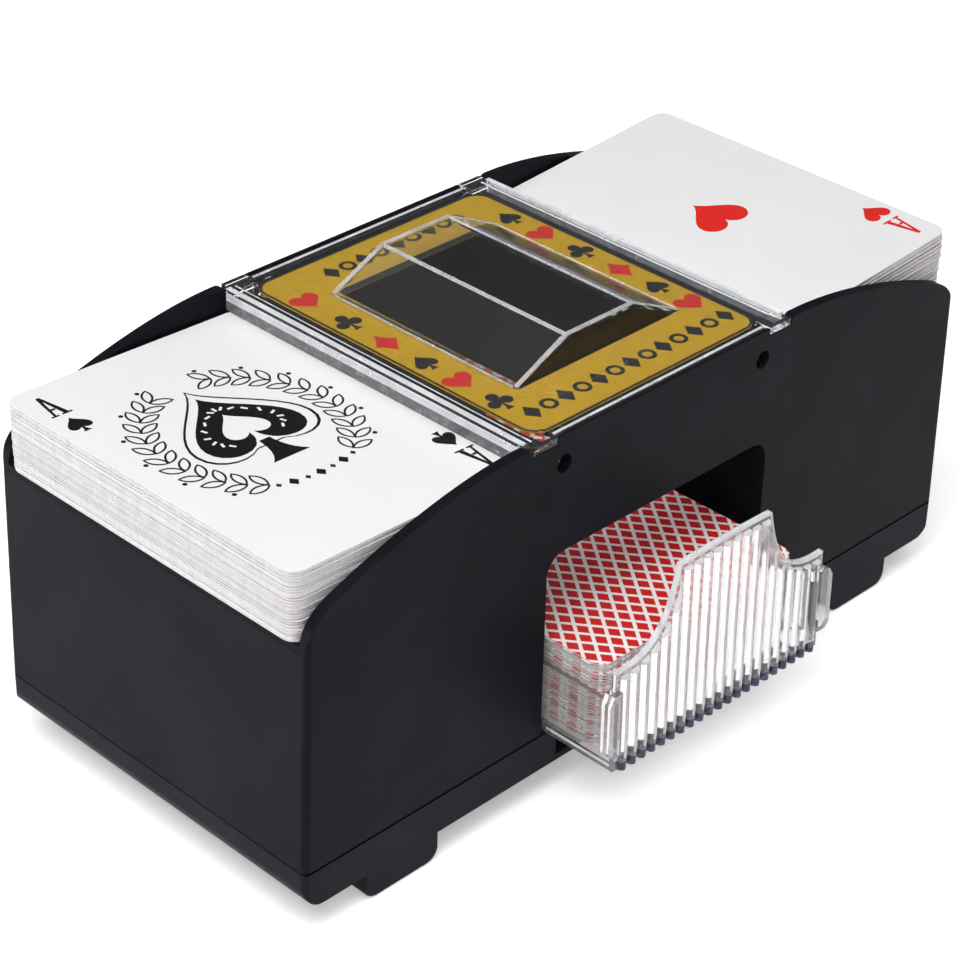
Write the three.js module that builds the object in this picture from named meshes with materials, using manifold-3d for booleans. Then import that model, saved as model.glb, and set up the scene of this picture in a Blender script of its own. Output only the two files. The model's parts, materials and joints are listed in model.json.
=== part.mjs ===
// Battery-powered playing-card shuffler: two sloped hoppers, a central
// chamber under a clear lid, and a clear ribbed tray that draws out to the front.
// Units are millimetres, +Z is up, X runs along the length, the tray faces -Y.
import * as THREE from 'three';
import Module from 'manifold-3d';

const wasm = await Module();
wasm.setup();

// ------------------------------------------------------------- playing cards
const CARD_W = 63.5;          // short side, along X
const CARD_L = 88.9;          // long side, along Y
const CARD_R = 3.2;           // corner radius

// ------------------------------------------------------------- housing, base
const FAR = 120;              // beyond the body on every side, for cutters
const LAP = 0.5;              // how far an added boss runs into the wall it stands on
const HALF_LENGTH = 102.5;    // body half length at the seam
const END_DRAFT = 2.1;        // how far each end wall leans in...
const DRAFT_Z = 92;           // ...at this height
const HALF_WIDTH = 47.75;     // body half width
const WALL = 2.55;            // long wall thickness
const INNER_Y = HALF_WIDTH - WALL;
const BAY_LOW_X = 100;        // inner face of an end wall, at the seam
const BAY_HIGH_X = 98.9;      // and from half height up
const CORNER_R = 1.6;         // vertical corner radius
const SKIRT_Z = 7;            // underside of the base skirt
const SKIRT_R = 5.5;          // lower corners of the skirt, seen from the front
const SEAM_Z = 16.45;         // parting line between base and upper housing
const SEAM_GAP = 0.3;
const SEAM_LOW = SEAM_Z - SEAM_GAP / 2;
const SEAM_HIGH = SEAM_Z + SEAM_GAP / 2;
const RIM_Z = 90;             // top of the long walls beside the lid
const WING_END = [101, 69];   // outer end of a wing's curved top edge

const FLOOR_OUT_Z = 70.4;     // hopper floor height at the outer end
const FLOOR_OUT_X = 101.6;
const FLOOR_SLOPE = Math.tan(1.97 * Math.PI / 180);
const FLOOR_T = 1.8;
const GATE_IN = 35.4;         // chamber wall, inner and outer face
const GATE_OUT = 37.2;
const GATE_TOP = 88.3;
const SLOT_H = 1.2;           // card slot in the chamber wall
const SLOT_Y = 44.8;

const OPEN_HALF = 34.9;       // front opening half width
const OPEN_TOP = 61.6;
const OPEN_R = 5;

const SEAT_X = 33;            // shallow seat for the lid in the long walls
const SEAT_Y = 46.85;
const SEAT_Z = 88.4;
const NOTCH = [32.9, 40.1];   // notches for the lid's corner tabs, in X
const NOTCH_Z = 88;

const SCREW_X = 94;
const SCREW_Y = 40;
const SCREW_COLUMN_R = 3.6;
const SCREW_HOLE_R = 1.62;
const SCREW_HOLE_TOP = 34;

const BASE_WALL_X = 100.2;    // inside of the base
const BASE_WALL_Y = 45.4;
const BASE_T = 2;
const RIB_LOW = SKIRT_Z + 1;  // ribs and boxes in the base start inside its floor
const PLATFORM_X = [36.4, 38.4];
const PLATFORM_Y = 45.6;
const PLATFORM_T = 2;
const RECESS_X = 29.9;        // finger recess below the tray
const RECESS_Y = 41.4;
const RECESS_WALL = 1.8;
const FOOT_X = 75.4;
const FOOT_HALF = 10.5;
const FOOT_Y = 34;            // inner face of a foot
const FOOT_R = 3.4;

// ----------------------------------------------------------------------- lid
const LID_HALF_X = 39.8;
const LID_PLATE_Y = 45;
const LID_HALF_Y = 46.55;
const LID_MIDDLE_X = 32.6;    // the part of the plate that reaches over the walls
const LID_Z = 89.6;           // top of the lid plate
const LID_T = 0.95;
const LIP_T = 1.2;
const LIP_Z = 84.9;           // lower edge of the lid's side lips
const TAB_IN = 33.2;          // corner tabs of the lid
const TAB_Y = 47.6;
const TAB_T = 1.3;
const PEG_X = 31;
const PEG_Z = 83;
const PEG_R = 1.5;
const PEG_HOLE_R = 2.15;
const PEG_TIP_Y = 45.1;
const LEG_Y = [43.65, 44.95]; // the lid's spring legs
const LEG_HALF = 2.4;
const LEG_BELOW_PEG = 2.2;
const ROOF_BASE_X = 25;       // raised clear roof over the window
const ROOF_RIDGE_X = 10;
const ROOF_HALF_Y = 28.4;
const ROOF_Z = 96.9;
const ROOF_T = 1.2;

const LABEL_HALF_X = 35.1;
const LABEL_HALF_Y = 43.2;
const LABEL_Z = 88.6;
const LABEL_T = 0.5;
const LABEL_R = 4.5;

// ---------------------------------------------------------------------- tray
const TRAY_Z = 16.75;         // underside of the tray
const TRAY_T = 1.8;
const TRAY_HALF = 33.6;
const TRAY_SIDE = 32.5;       // inner face of a side wall
const TRAY_SIDE_Z = 34;
const TRAY_BACK = 23;
const TRAY_WALL_Y = -66;      // inner face of the tray's front wall, at its foot
const TRAY_WALL_T = 1.3;
const TRAY_LEAN = 0.018;      // lean of the front wall towards the body
const RIB_COUNT = 21;
const RIB_PITCH = 3.1;
const RIB_W = 2.0;
const RIB_D = 1.25;
const RIB_DROP = 0.9;         // from the wall's top edge down to a rib's top
const EAR_D = 2.5;            // how far an ear's front is from the wall's inner face

// --------------------------------------------------------------- card stacks
const DECK_CLEAR = 0.1;       // gap below a stack
const LEFT_OUT = -101.6;      // outer end of the left stack
const LEFT_TOP = 86.6;
const RIGHT_OUT = 100.9;
const RIGHT_TOP = 89.05;
const RIGHT_SLOPE = Math.tan(4.31 * Math.PI / 180);
const OUT_FRONT = -61.3;
const OUT_TOP = 39.3;

// --------------------------------------------------------------------- drive
const MODULE = 0.7;           // gear module
const ROLLER_X = 47;
const ROLLER_Z = 59.1;
const TYRE_R = 9.4;
const TYRE_Y = 24;            // middle of a tyre
const TYRE_HALF = 6;
const FEED_SLOT = [7, 6.7, 4]; // half sizes of the slot that a tyre shows through
const SHAFT_R = 1.5;
const SHAFT_HALF = 45.6;
const BUSH_R = 3;
const BUSH_Y = [42.2, 46.1];
const FLANGE_R = 4.4;
const FLANGE_Y = [41, 41.9];
const BOSS_R = 6;             // boss round a bush
const BOSS_Y = 42;
const BLIND_Y = 46.2;         // end of the blind bores in the walls
const PAD_R = 3.4;            // pad round a gear axle's end
const PAD_Y = 41.6;
const AXLE_R = 1;
const T_ROLLER = 18;          // teeth
const T_SMALL = 10;
const T_BIG = 20;
const T_PINION = 8;
const DRIVE_DIR = [-0.6, -0.8];
const ROLLER_GEAR_Y = [33.4, 36.4];
const SMALL_GEAR_Y = [33.2, 37.6];
const BIG_GEAR_Y = [37.4, 40.2];
const PINION_Y = [37.2, 40.6];
const MOTOR_R = 10;
const MOTOR_FLAT = 7.6;       // half height between the can's flats
const MOTOR_Y = [8, 31];
const CAP_Y = [5.6, 7.8];
const CRADLE_Y = [11, 29];
const CRADLE_HALF = 8;
const CRADLE_T = 1.2;

// ------------------------------------------------------ battery, start button
const DOOR = [-97.5, -68.9, -25.6, 25.6];   // battery door outline, x and y limits
const DOOR_GAP = 0.3;
const DOOR_T = 1.6;
const GRIP_COUNT = 5;         // grip grooves in the door
const GRIP_PITCH = 2.4;
const BOX_TOP = 39;
const AA_R = 7.05;
const AA_L = 50.2;
const CELL_X = [-90.3, -76.1];
const CELL_Z = [16.3, 30.6];
const CONTACT_Z = [12, 36];
const CONTACT_T = 0.5;

const BUTTON_X = 79;
const BUTTON_Z = 44;
const BUTTON_FACE = 50.6;     // outer face of the start button
const BUTTON_R = 6.4;
const BUTTON_HOLE_R = 6.8;
const COLLAR_R = 10;
const COLLAR_Y = 41.2;
const POCKET_R = 8.4;
const POCKET_Y = 45.6;
const SWITCH_Y = [27.6, 38.2];

// the shared frame's origin is the centre of the whole part's footprint
const TRAY_FRONT = TRAY_WALL_Y - TRAY_WALL_T - RIB_D;
const ORIGIN_Y = (BUTTON_FACE + TRAY_FRONT) / 2;

// ----------------------------------------------------------------- materials
const mat = (color, roughness, metalness = 0, opacity = 1) =>
  new THREE.MeshStandardMaterial({
    color, roughness, metalness, opacity, transparent: opacity < 1,
  });
const MATS = {
  black: mat(0x1d1e20, 0.42),
  black_base: mat(0x1a1b1d, 0.5),
  clear: mat(0xe8edf0, 0.06, 0, 0.35),
  gold: mat(0xa5822a, 0.35, 0.4),
  card: mat(0xf2f2ef, 0.5),
  card_back: mat(0xc23a34, 0.5),
  steel: mat(0x9a9da1, 0.3, 0.9),
  brass: mat(0xb08d4a, 0.35, 0.8),
  rubber: mat(0x2b2b2d, 0.85),
  nylon: mat(0xdedbd0, 0.5),
  cell: mat(0x2f5d46, 0.4, 0.2),
  button: mat(0x2a2b2e, 0.4),
  switch: mat(0x18181a, 0.55),
};

const group = new THREE.Group();
group.position.y = -ORIGIN_Y;

// ------------------------------------------------------------------- helpers
// a watertight body from a three geometry, with its shared corners joined
function solid(geometry) {
  const g = geometry.index ? geometry.toNonIndexed() : geometry.clone();
  g.deleteAttribute('normal');
  g.deleteAttribute('uv');
  const pos = g.attributes.position.array;
  const verts = [];
  const tris = new Uint32Array(pos.length / 3);
  const seen = new Map();
  for (let i = 0; i < pos.length / 3; i += 1) {
    const p = [pos[3 * i], pos[3 * i + 1], pos[3 * i + 2]];
    const key = p.map((v) => Math.round(v * 1e4)).join(',');
    if (!seen.has(key)) {
      seen.set(key, verts.length / 3);
      verts.push(...p);
    }
    tris[i] = seen.get(key);
  }
  return new wasm.Manifold(new wasm.Mesh({
    numProp: 3,
    vertProperties: new Float32Array(verts),
    triVerts: tris,
  }));
}

// adds a body to the group as a named mesh
function place(name, body, material) {
  const m = body.getMesh();
  const g = new THREE.BufferGeometry();
  g.setAttribute('position', new THREE.BufferAttribute(new Float32Array(m.vertProperties), 3));
  g.setIndex(new THREE.BufferAttribute(new Uint32Array(m.triVerts), 1));
  const flat = g.toNonIndexed();
  flat.computeVertexNormals();
  const mesh = new THREE.Mesh(flat, material);
  mesh.name = name;
  group.add(mesh);
}

function box(x0, x1, y0, y1, z0, z1) {
  const g = new THREE.BoxGeometry(x1 - x0, y1 - y0, z1 - z0);
  g.translate((x0 + x1) / 2, (y0 + y1) / 2, (z0 + z1) / 2);
  return solid(g);
}

function shapeOf(points) {
  return new THREE.Shape(points.map(([a, b]) => new THREE.Vector2(a, b)));
}

// outline in X and Y, raised along Z
function prismXY(points, z0, z1) {
  const g = new THREE.ExtrudeGeometry(shapeOf(points), { depth: z1 - z0, bevelEnabled: false });
  g.translate(0, 0, z0);
  return solid(g);
}

// outline in X and Z, drawn out along Y
function prismXZ(points, y0, y1) {
  const g = new THREE.ExtrudeGeometry(shapeOf(points), { depth: y1 - y0, bevelEnabled: false });
  g.rotateX(Math.PI / 2);
  g.translate(0, y1, 0);
  return solid(g);
}

// outline in Y and Z, drawn out along X
function prismYZ(points, x0, x1) {
  const g = new THREE.ExtrudeGeometry(shapeOf(points), { depth: x1 - x0, bevelEnabled: false });
  g.rotateX(Math.PI / 2);
  g.rotateZ(Math.PI / 2);
  g.translate(x0, 0, 0);
  return solid(g);
}

function circle(cx, cy, r, n) {
  const pts = [];
  for (let i = 0; i < n; i += 1) {
    const a = (2 * Math.PI * i) / n;
    pts.push([cx + r * Math.cos(a), cy + r * Math.sin(a)]);
  }
  return pts;
}

const rodY = (x, z, r, y0, y1, n = 20) => prismXZ(circle(x, z, r, n), y0, y1);
const rodZ = (x, y, r, z0, z1, n = 16) => prismXY(circle(x, y, r, n), z0, z1);

function roundRect(hx, hy, r, n = 5, cx = 0, cy = 0) {
  const pts = [];
  const corners = [[1, 1, 0], [-1, 1, 1], [-1, -1, 2], [1, -1, 3]];
  for (const [sx, sy, q] of corners) {
    for (let i = 0; i <= n; i += 1) {
      const a = (q + i / n) * Math.PI / 2;
      pts.push([cx + sx * (hx - r) + r * Math.cos(a), cy + sy * (hy - r) + r * Math.sin(a)]);
    }
  }
  return pts;
}

// closed skin between two outlines with the same number of points
function loft(lower, upper) {
  const n = lower.length;
  const tri = [];
  const push = (...p) => p.forEach((v) => tri.push(...v));
  for (let i = 0; i < n; i += 1) {
    const j = (i + 1) % n;
    push(lower[i], lower[j], upper[j]);
    push(lower[i], upper[j], upper[i]);
  }
  for (let i = 1; i < n - 1; i += 1) {
    push(lower[0], lower[i + 1], lower[i]);
    push(upper[0], upper[i], upper[i + 1]);
  }
  const g = new THREE.BufferGeometry();
  g.setAttribute('position', new THREE.BufferAttribute(new Float32Array(tri), 3));
  return solid(g);
}

function bezier(p0, p1, p2, p3, n) {
  const points = [p0, p1, p2, p3].map(([a, b]) => new THREE.Vector2(a, b));
  return new THREE.CubicBezierCurve(...points).getPoints(n).map((p) => [p.x, p.y]);
}

const addAll = (first, ...rest) => rest.reduce((a, b) => a.add(b), first);
const cutAll = (first, ...rest) => rest.reduce((a, b) => a.subtract(b), first);
const floorZ = (x) => FLOOR_OUT_Z - FLOOR_SLOPE * (FLOOR_OUT_X - Math.abs(x));
const SIDES = [['left', -1], ['right', 1]];
const ENDS = [['front', -1], ['back', 1]];
const mirrorX = (points, s) => (s > 0 ? points : points.map(([x, z]) => [-x, z]).reverse());
// a pair of distances from the middle, as rising limits on side s
const span = ([near, far], s) => (s > 0 ? [near, far] : [-far, -near]);

// drive axes of one side, in X and Z
function driveAxes(s) {
  const ab = MODULE * (T_ROLLER + T_SMALL) / 2;
  const bc = MODULE * (T_BIG + T_PINION) / 2;
  const a = [-ROLLER_X, ROLLER_Z];
  const b = [a[0] + DRIVE_DIR[0] * ab, a[1] + DRIVE_DIR[1] * ab];
  const c = [b[0] + DRIVE_DIR[0] * bc, b[1] + DRIVE_DIR[1] * bc];
  return [a, b, c].map(([x, z]) => [-s * x, z]);
}
const SCREWS = [
  [-SCREW_X, -SCREW_Y], [SCREW_X, -SCREW_Y], [-SCREW_X, SCREW_Y], [SCREW_X, SCREW_Y],
];

// -------------------------------------------------------------- upper housing
// top edge of a long wall, from the lid out to the end of the hopper
function wingOutline() {
  const knee = [94.5, 78.4];
  const sweep = bezier([43, RIM_Z], [59.7, RIM_Z - 0.2], [79.9, 84.3], knee, 9);
  const shoulder = bezier(knee, [99.5, 76.1], [100.7, 72.4], WING_END, 5);
  const beside = [[SEAT_X, RIM_Z - 0.2], [40.1, RIM_Z - 1.2], [40.6, RIM_Z - 0.4], [41.4, RIM_Z]];
  const outside = [[HALF_LENGTH + 0.5, 67], [FAR, 66], [FAR, 0]];
  return [...beside, ...sweep, ...shoulder.slice(1), ...outside];
}

function housingBlock() {
  const ring = (hx, z) => roundRect(hx, HALF_WIDTH, CORNER_R).map(([x, y]) => [x, y, z]);
  const shell = loft(ring(HALF_LENGTH, SEAM_HIGH), ring(HALF_LENGTH - END_DRAFT, DRAFT_Z));
  const wing = wingOutline();
  return shell.intersect(prismXZ([...mirrorX(wing, -1), ...wing], -FAR, FAR));
}

// the hopper above the sloped floor, and the drive bay below it
function hopperAndBay(s) {
  const under = floorZ(BAY_LOW_X) - FLOOR_T;
  const hopper = [
    [GATE_OUT, floorZ(GATE_OUT)], [FAR, floorZ(FAR)], [FAR, FAR], [GATE_OUT, FAR],
  ];
  const bay = [
    [GATE_OUT, 0], [BAY_LOW_X, 0], [BAY_HIGH_X, 60],
    [BAY_HIGH_X, under], [GATE_OUT, floorZ(GATE_OUT) - FLOOR_T],
  ];
  return [hopper, bay].map((outline) => prismXZ(mirrorX(outline, s), -INNER_Y, INNER_Y));
}

// the chamber and the seat that the lid lies in
function chamberAndSeat() {
  const notches = SIDES.map(([, s]) => {
    const [x0, x1] = span(NOTCH, s);
    return box(x0, x1, -FAR, FAR, NOTCH_Z, FAR);
  });
  return [
    box(-GATE_IN, GATE_IN, -INNER_Y, INNER_Y, 0, FAR),
    box(-41.6, 41.6, -INNER_Y, INNER_Y, GATE_TOP, FAR),
    box(-SEAT_X, SEAT_X, -SEAT_Y, SEAT_Y, SEAT_Z, FAR),
    ...notches,
  ];
}

function frontOpening() {
  const half = 30;
  const outline = roundRect(OPEN_HALF, half, OPEN_R, 4, 0, OPEN_TOP - half);
  return prismXZ(outline, -FAR, -INNER_Y + 0.1);
}

// bosses for the bushes, pads for the gear axles and columns for the screws
function housingBosses() {
  const parts = [];
  for (const [, s] of SIDES) {
    const [a, b] = driveAxes(s);
    for (const [, e] of ENDS) {
      parts.push(rodY(a[0], a[1], BOSS_R, ...span([BOSS_Y, INNER_Y + LAP], e)));
    }
    parts.push(rodY(b[0], b[1], PAD_R, PAD_Y, INNER_Y + LAP));
  }
  for (const [x, y] of SCREWS) {
    const [x0, x1] = span([SCREW_X, BAY_LOW_X - 0.36], Math.sign(x));
    parts.push(rodZ(x, y, SCREW_COLUMN_R, SEAM_HIGH, floorZ(SCREW_X) - 1));
    parts.push(box(x0, x1, y - 1, y + 1, SEAM_HIGH, 60));
  }
  return parts;
}

function housingBores() {
  const parts = SCREWS.map(([x, y]) => rodZ(x, y, SCREW_HOLE_R, 0, SCREW_HOLE_TOP, 12));
  const [slotX, slotY, slotZ] = FEED_SLOT;
  for (const [, s] of SIDES) {
    const [a, b] = driveAxes(s);
    for (const [, e] of ENDS) {
      parts.push(rodY(a[0], a[1], BUSH_R + 0.04, ...span([FLANGE_Y[0], BLIND_Y], e), 24));
    }
    parts.push(rodY(b[0], b[1], AXLE_R + 0.06, FLANGE_Y[0] - 1, BLIND_Y, 16));
    // slots that let the feed tyres reach the lowest card
    const zf = floorZ(a[0]);
    for (const y of [-TYRE_Y, TYRE_Y]) {
      parts.push(box(a[0] - slotX, a[0] + slotX, y - slotY, y + slotY, zf - slotZ, zf + slotZ));
    }
    // card slot through the chamber wall
    const [x0, x1] = s > 0 ? [GATE_IN - 1, GATE_OUT + 0.5] : [-GATE_OUT - 0.5, -GATE_IN + 1];
    const zs = floorZ(GATE_OUT);
    parts.push(box(x0, x1, -SLOT_Y, SLOT_Y, zs, zs + SLOT_H));
  }
  for (const x of [-PEG_X, PEG_X]) {
    parts.push(rodY(x, PEG_Z, PEG_HOLE_R, -FAR, FAR, 20));
  }
  return parts;
}

function upperHousing() {
  const hollows = SIDES.flatMap(([, s]) => hopperAndBay(s));
  let body = cutAll(housingBlock(), ...hollows, ...chamberAndSeat(), frontOpening());
  body = addAll(body, ...housingBosses());
  body = cutAll(body, ...housingBores());
  // guide collar and hole of the start button
  body = body.add(rodY(BUTTON_X, BUTTON_Z, COLLAR_R, COLLAR_Y, INNER_Y + LAP, 24));
  return cutAll(
    body,
    rodY(BUTTON_X, BUTTON_Z, POCKET_R, COLLAR_Y - 1, POCKET_Y, 24),
    rodY(BUTTON_X, BUTTON_Z, BUTTON_HOLE_R, COLLAR_Y - 1, FAR, 24),
  );
}
place('upper_housing', upperHousing(), MATS.black);

// ----------------------------------------------------------------------- base
// section of a motor can: round, with two flats that face across the drive line
function motorEnvelope(s, grow) {
  const [, , c] = driveAxes(s);
  const a = Math.atan2(DRIVE_DIR[1], -s * DRIVE_DIR[0]);
  const r = MOTOR_R + grow;
  const flat = MOTOR_FLAT + grow;
  const turn = Math.acos(flat / r);
  const pts = [];
  for (const side of [0, Math.PI]) {
    for (let i = 0; i <= 8; i += 1) {
      const t = a + side + turn + (Math.PI - 2 * turn) * (i / 8);
      pts.push([c[0] + r * Math.cos(t), c[1] + r * Math.sin(t)]);
    }
  }
  return pts;
}

// platform that carries the tray, on two ribs and a cross wall
function platform() {
  const [near, far] = PLATFORM_X;
  return [
    box(-far, far, -PLATFORM_Y, PLATFORM_Y, SEAM_LOW - PLATFORM_T - 0.05, SEAM_LOW),
    box(-far, -near, -PLATFORM_Y, PLATFORM_Y, RIB_LOW, SEAM_LOW),
    box(near, far, -PLATFORM_Y, PLATFORM_Y, RIB_LOW, SEAM_LOW),
    box(-RECESS_X - 1.7, RECESS_X + 1.7, -RECESS_Y, -RECESS_Y + RECESS_WALL, RIB_LOW, SEAM_LOW),
  ];
}

// a block foot with rounded lower ends
function foot(s, e) {
  const outline = roundRect(FOOT_HALF, 12, FOOT_R, 4, s * FOOT_X, 12);
  const block = prismXZ(outline, ...span([FOOT_Y, HALF_WIDTH], e));
  return block.intersect(box(-FAR, FAR, -FAR, FAR, 0, RIB_LOW));
}

function base() {
  const plan = prismXY(roundRect(HALF_LENGTH, HALF_WIDTH, CORNER_R), SKIRT_Z, SEAM_LOW);
  const side = roundRect(HALF_LENGTH + 0.01, 20, SKIRT_R, 5, 0, SKIRT_Z + 20);
  let body = plan.intersect(prismXZ(side, -FAR, FAR));
  body = body.subtract(
    prismXY(roundRect(BASE_WALL_X, BASE_WALL_Y, 2.6, 3), SKIRT_Z + BASE_T, FAR),
  );
  body = addAll(body, ...platform());
  // finger recess in the skirt below the tray
  body = body.subtract(box(-RECESS_X, RECESS_X, -FAR, -RECESS_Y, SKIRT_Z + 1.7, FAR));
  for (const [, s] of SIDES) {
    body = addAll(body, ...ENDS.map(([, e]) => foot(s, e)));
  }
  // battery box
  const [bx0, bx1, by0, by1] = DOOR;
  body = body.add(box(bx0 - 1.1, bx1 + 1, by0 - 3.4, by1 + 3.4, RIB_LOW, BOX_TOP));
  body = body.subtract(
    box(bx0, bx1, by0 - 1.8, by1 + 1.8, SKIRT_Z + BASE_T, BOX_TOP - 1.2),
  );
  // cradles for the motors
  for (const [, s] of SIDES) {
    const [, , c] = driveAxes(s);
    for (const y of CRADLE_Y) {
      body = body.add(box(
        c[0] - CRADLE_HALF, c[0] + CRADLE_HALF, y - CRADLE_T, y + CRADLE_T, RIB_LOW, c[1] - 2,
      ));
    }
    body = body.subtract(prismXZ(motorEnvelope(s, 0.3), CAP_Y[0] - 0.6, MOTOR_Y[1] + 3));
  }
  // post below the switch
  body = body.add(box(BUTTON_X - 4, BUTTON_X + 4, 29, 37, RIB_LOW, BUTTON_Z - 5.3));
  // screw bosses, then their holes and the recesses for the heads
  body = addAll(body, ...SCREWS.map(([x, y]) => rodZ(x, y, 4.2, RIB_LOW, SEAM_LOW)));
  for (const [x, y] of SCREWS) {
    body = body.subtract(rodZ(x, y, 1.8, 0, FAR, 12));
    body = body.subtract(rodZ(x, y, 3.2, 0, 11.6, 16));
  }
  // battery door opening, and the notch for its latch
  body = body.subtract(box(bx0, bx1, by0, by1, 0, 12));
  return body.subtract(box(bx0 + 8, bx0 + 20, by1 - 1, by1 + 1.9, 0, SKIRT_Z + 1.3));
}
place('base', base(), MATS.black_base);

function batteryDoor() {
  const [bx0, bx1, by0, by1] = DOOR;
  const g = DOOR_GAP;
  let body = box(bx0 + g, bx1 - g, by0 + g, by1 - g, SKIRT_Z, SKIRT_Z + DOOR_T);
  body = body.add(box(bx0 + 8.4, bx0 + 19.6, by1 - 1, by1 + 1.5, SKIRT_Z, SKIRT_Z + 1));
  for (let i = 0; i < GRIP_COUNT; i += 1) {
    const y = by0 + 8 + i * GRIP_PITCH;
    body = body.subtract(box(bx0 + 8, bx1 - 8, y, y + 1, SKIRT_Z - 1, SKIRT_Z + 0.6));
  }
  return body;
}
place('battery_door', batteryDoor(), MATS.black_base);

// ------------------------------------------------------------------ clear lid
// section of the raised roof, or of the space below it when shrunk by its thickness
function roofOutline(shrink, zFoot) {
  const base = ROOF_BASE_X - shrink * 1.25;
  const ridge = ROOF_RIDGE_X - shrink * 0.3;
  const top = ROOF_Z - shrink * 1.05;
  return [[-base, zFoot], [base, zFoot], [ridge, top], [-ridge, top]];
}

// corner tabs, side lip, spring legs and pegs of one side
function lidFittings(s) {
  const [tab0, tab1] = span([TAB_IN, LID_HALF_X], s);
  const [lip0, lip1] = span([LID_HALF_X, LID_HALF_X + LIP_T], s);
  const x = s * PEG_X;
  const parts = [box(lip0, lip1, -LID_PLATE_Y, LID_PLATE_Y, LIP_Z, LID_Z)];
  for (const [, e] of ENDS) {
    const [y0, y1] = span([LID_PLATE_Y - 1, TAB_Y], e);
    const [leg0, leg1] = span(LEG_Y, e);
    parts.push(box(tab0, tab1, y0, y1, LID_Z - TAB_T, LID_Z));
    parts.push(box(x - LEG_HALF, x + LEG_HALF, leg0, leg1, PEG_Z - LEG_BELOW_PEG, LID_Z));
    parts.push(rodY(x, PEG_Z, PEG_R, ...span([LID_PLATE_Y - 1, PEG_TIP_Y], e), 16));
  }
  return parts;
}

function lid() {
  const z0 = LID_Z - LID_T;
  const wide = LID_HALF_X + LIP_T;
  const body = addAll(
    box(-wide, wide, -LID_PLATE_Y, LID_PLATE_Y, z0, LID_Z),
    box(-LID_MIDDLE_X, LID_MIDDLE_X, -LID_HALF_Y, LID_HALF_Y, z0, LID_Z),
    ...SIDES.flatMap(([, s]) => lidFittings(s)),
    prismXZ(roofOutline(0, LID_Z - 0.4), -ROOF_HALF_Y, ROOF_HALF_Y),
  );
  const [left, right, ridgeRight, ridgeLeft] = roofOutline(ROOF_T, LID_Z);
  const below = [[left[0], 80], [right[0], 80], right, ridgeRight, ridgeLeft, left];
  return body.subtract(prismXZ(below, -ROOF_HALF_Y + ROOF_T, ROOF_HALF_Y - ROOF_T));
}
place('lid', lid(), MATS.clear);

function labelPlate() {
  const outline = roundRect(LABEL_HALF_X, LABEL_HALF_Y, LABEL_R, 4);
  const window = roundRect(ROOF_BASE_X - 0.6, ROOF_HALF_Y - 0.6, 1.2, 3);
  return prismXY(outline, LABEL_Z - LABEL_T, LABEL_Z).subtract(prismXY(window, 0, FAR));
}
place('label_plate', labelPlate(), MATS.gold);

// ----------------------------------------------------------------------- tray
// half of the front wall's top edge: flat in the middle, swept down to low shoulders
const TRAY_CREST = [
  [0, 60.4], ...bezier([14.5, 60.1], [16.2, 52.4], [18.5, 40.4], [TRAY_HALF, 41.8], 10),
];

function crestZ(x) {
  const a = Math.abs(x);
  const i = Math.max(1, TRAY_CREST.findIndex(([px]) => px >= a));
  const [x0, z0] = TRAY_CREST[i - 1];
  const [x1, z1] = TRAY_CREST[i];
  return z0 + (z1 - z0) * (a - x0) / (x1 - x0);
}

// side view of a low side wall, in Y and Z
function traySide() {
  const front = TRAY_WALL_Y - LAP;
  return [
    [front, TRAY_Z], [TRAY_BACK, TRAY_Z], [TRAY_BACK, TRAY_SIDE_Z - 4],
    [TRAY_BACK - 4, TRAY_SIDE_Z], [front, TRAY_SIDE_Z],
  ];
}

// one upright rib on the front wall, in plan
function ribSection(x) {
  const root = TRAY_WALL_Y - TRAY_WALL_T;
  const half = RIB_W / 2;
  const cheek = root - RIB_D * 0.45;
  const right = [[x + half / 2, root - RIB_D], [x + half, cheek], [x + half, root + 0.3]];
  const left = [[x - half, root + 0.3], [x - half, cheek], [x - half / 2, root - RIB_D]];
  return [...left, ...right];
}

function trayFront() {
  const crest = [...mirrorX(TRAY_CREST, -1), ...TRAY_CREST.slice(1)];
  const outline = [...crest, [TRAY_HALF, TRAY_Z], [-TRAY_HALF, TRAY_Z]].reverse();
  let front = prismXZ(outline, TRAY_WALL_Y - TRAY_WALL_T, TRAY_WALL_Y);
  for (let i = 0; i < RIB_COUNT; i += 1) {
    const x = (i - (RIB_COUNT - 1) / 2) * RIB_PITCH;
    const top = Math.min(crestZ(x - RIB_W / 2), crestZ(x + RIB_W / 2)) - RIB_DROP;
    front = front.add(prismXY(ribSection(x), TRAY_Z, top));
  }
  const ear = [
    [32.4, 21.4], [35.2, 21.4], [36.2, 22.6], [36.2, 35.4], [35.2, 37.2], [32.4, 37.2],
  ];
  for (const [, s] of SIDES) {
    front = front.add(prismXZ(mirrorX(ear, s), TRAY_WALL_Y - EAR_D, TRAY_WALL_Y + 0.2));
  }
  // the front wall leans a little towards the body
  const lean = new THREE.Matrix4().makeShear(0, 0, 0, 0, 0, TRAY_LEAN);
  lean.setPosition(0, -TRAY_LEAN * TRAY_Z, 0);
  return front.transform(lean.elements);
}

function outputTray() {
  const sides = SIDES.map(([, s]) => prismYZ(traySide(), ...span([TRAY_SIDE, TRAY_HALF], s)));
  return addAll(
    box(-TRAY_HALF, TRAY_HALF, TRAY_WALL_Y - LAP, TRAY_BACK, TRAY_Z, TRAY_Z + TRAY_T),
    ...sides,
    trayFront(),
  );
}
place('output_tray', outputTray(), MATS.clear);

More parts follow.
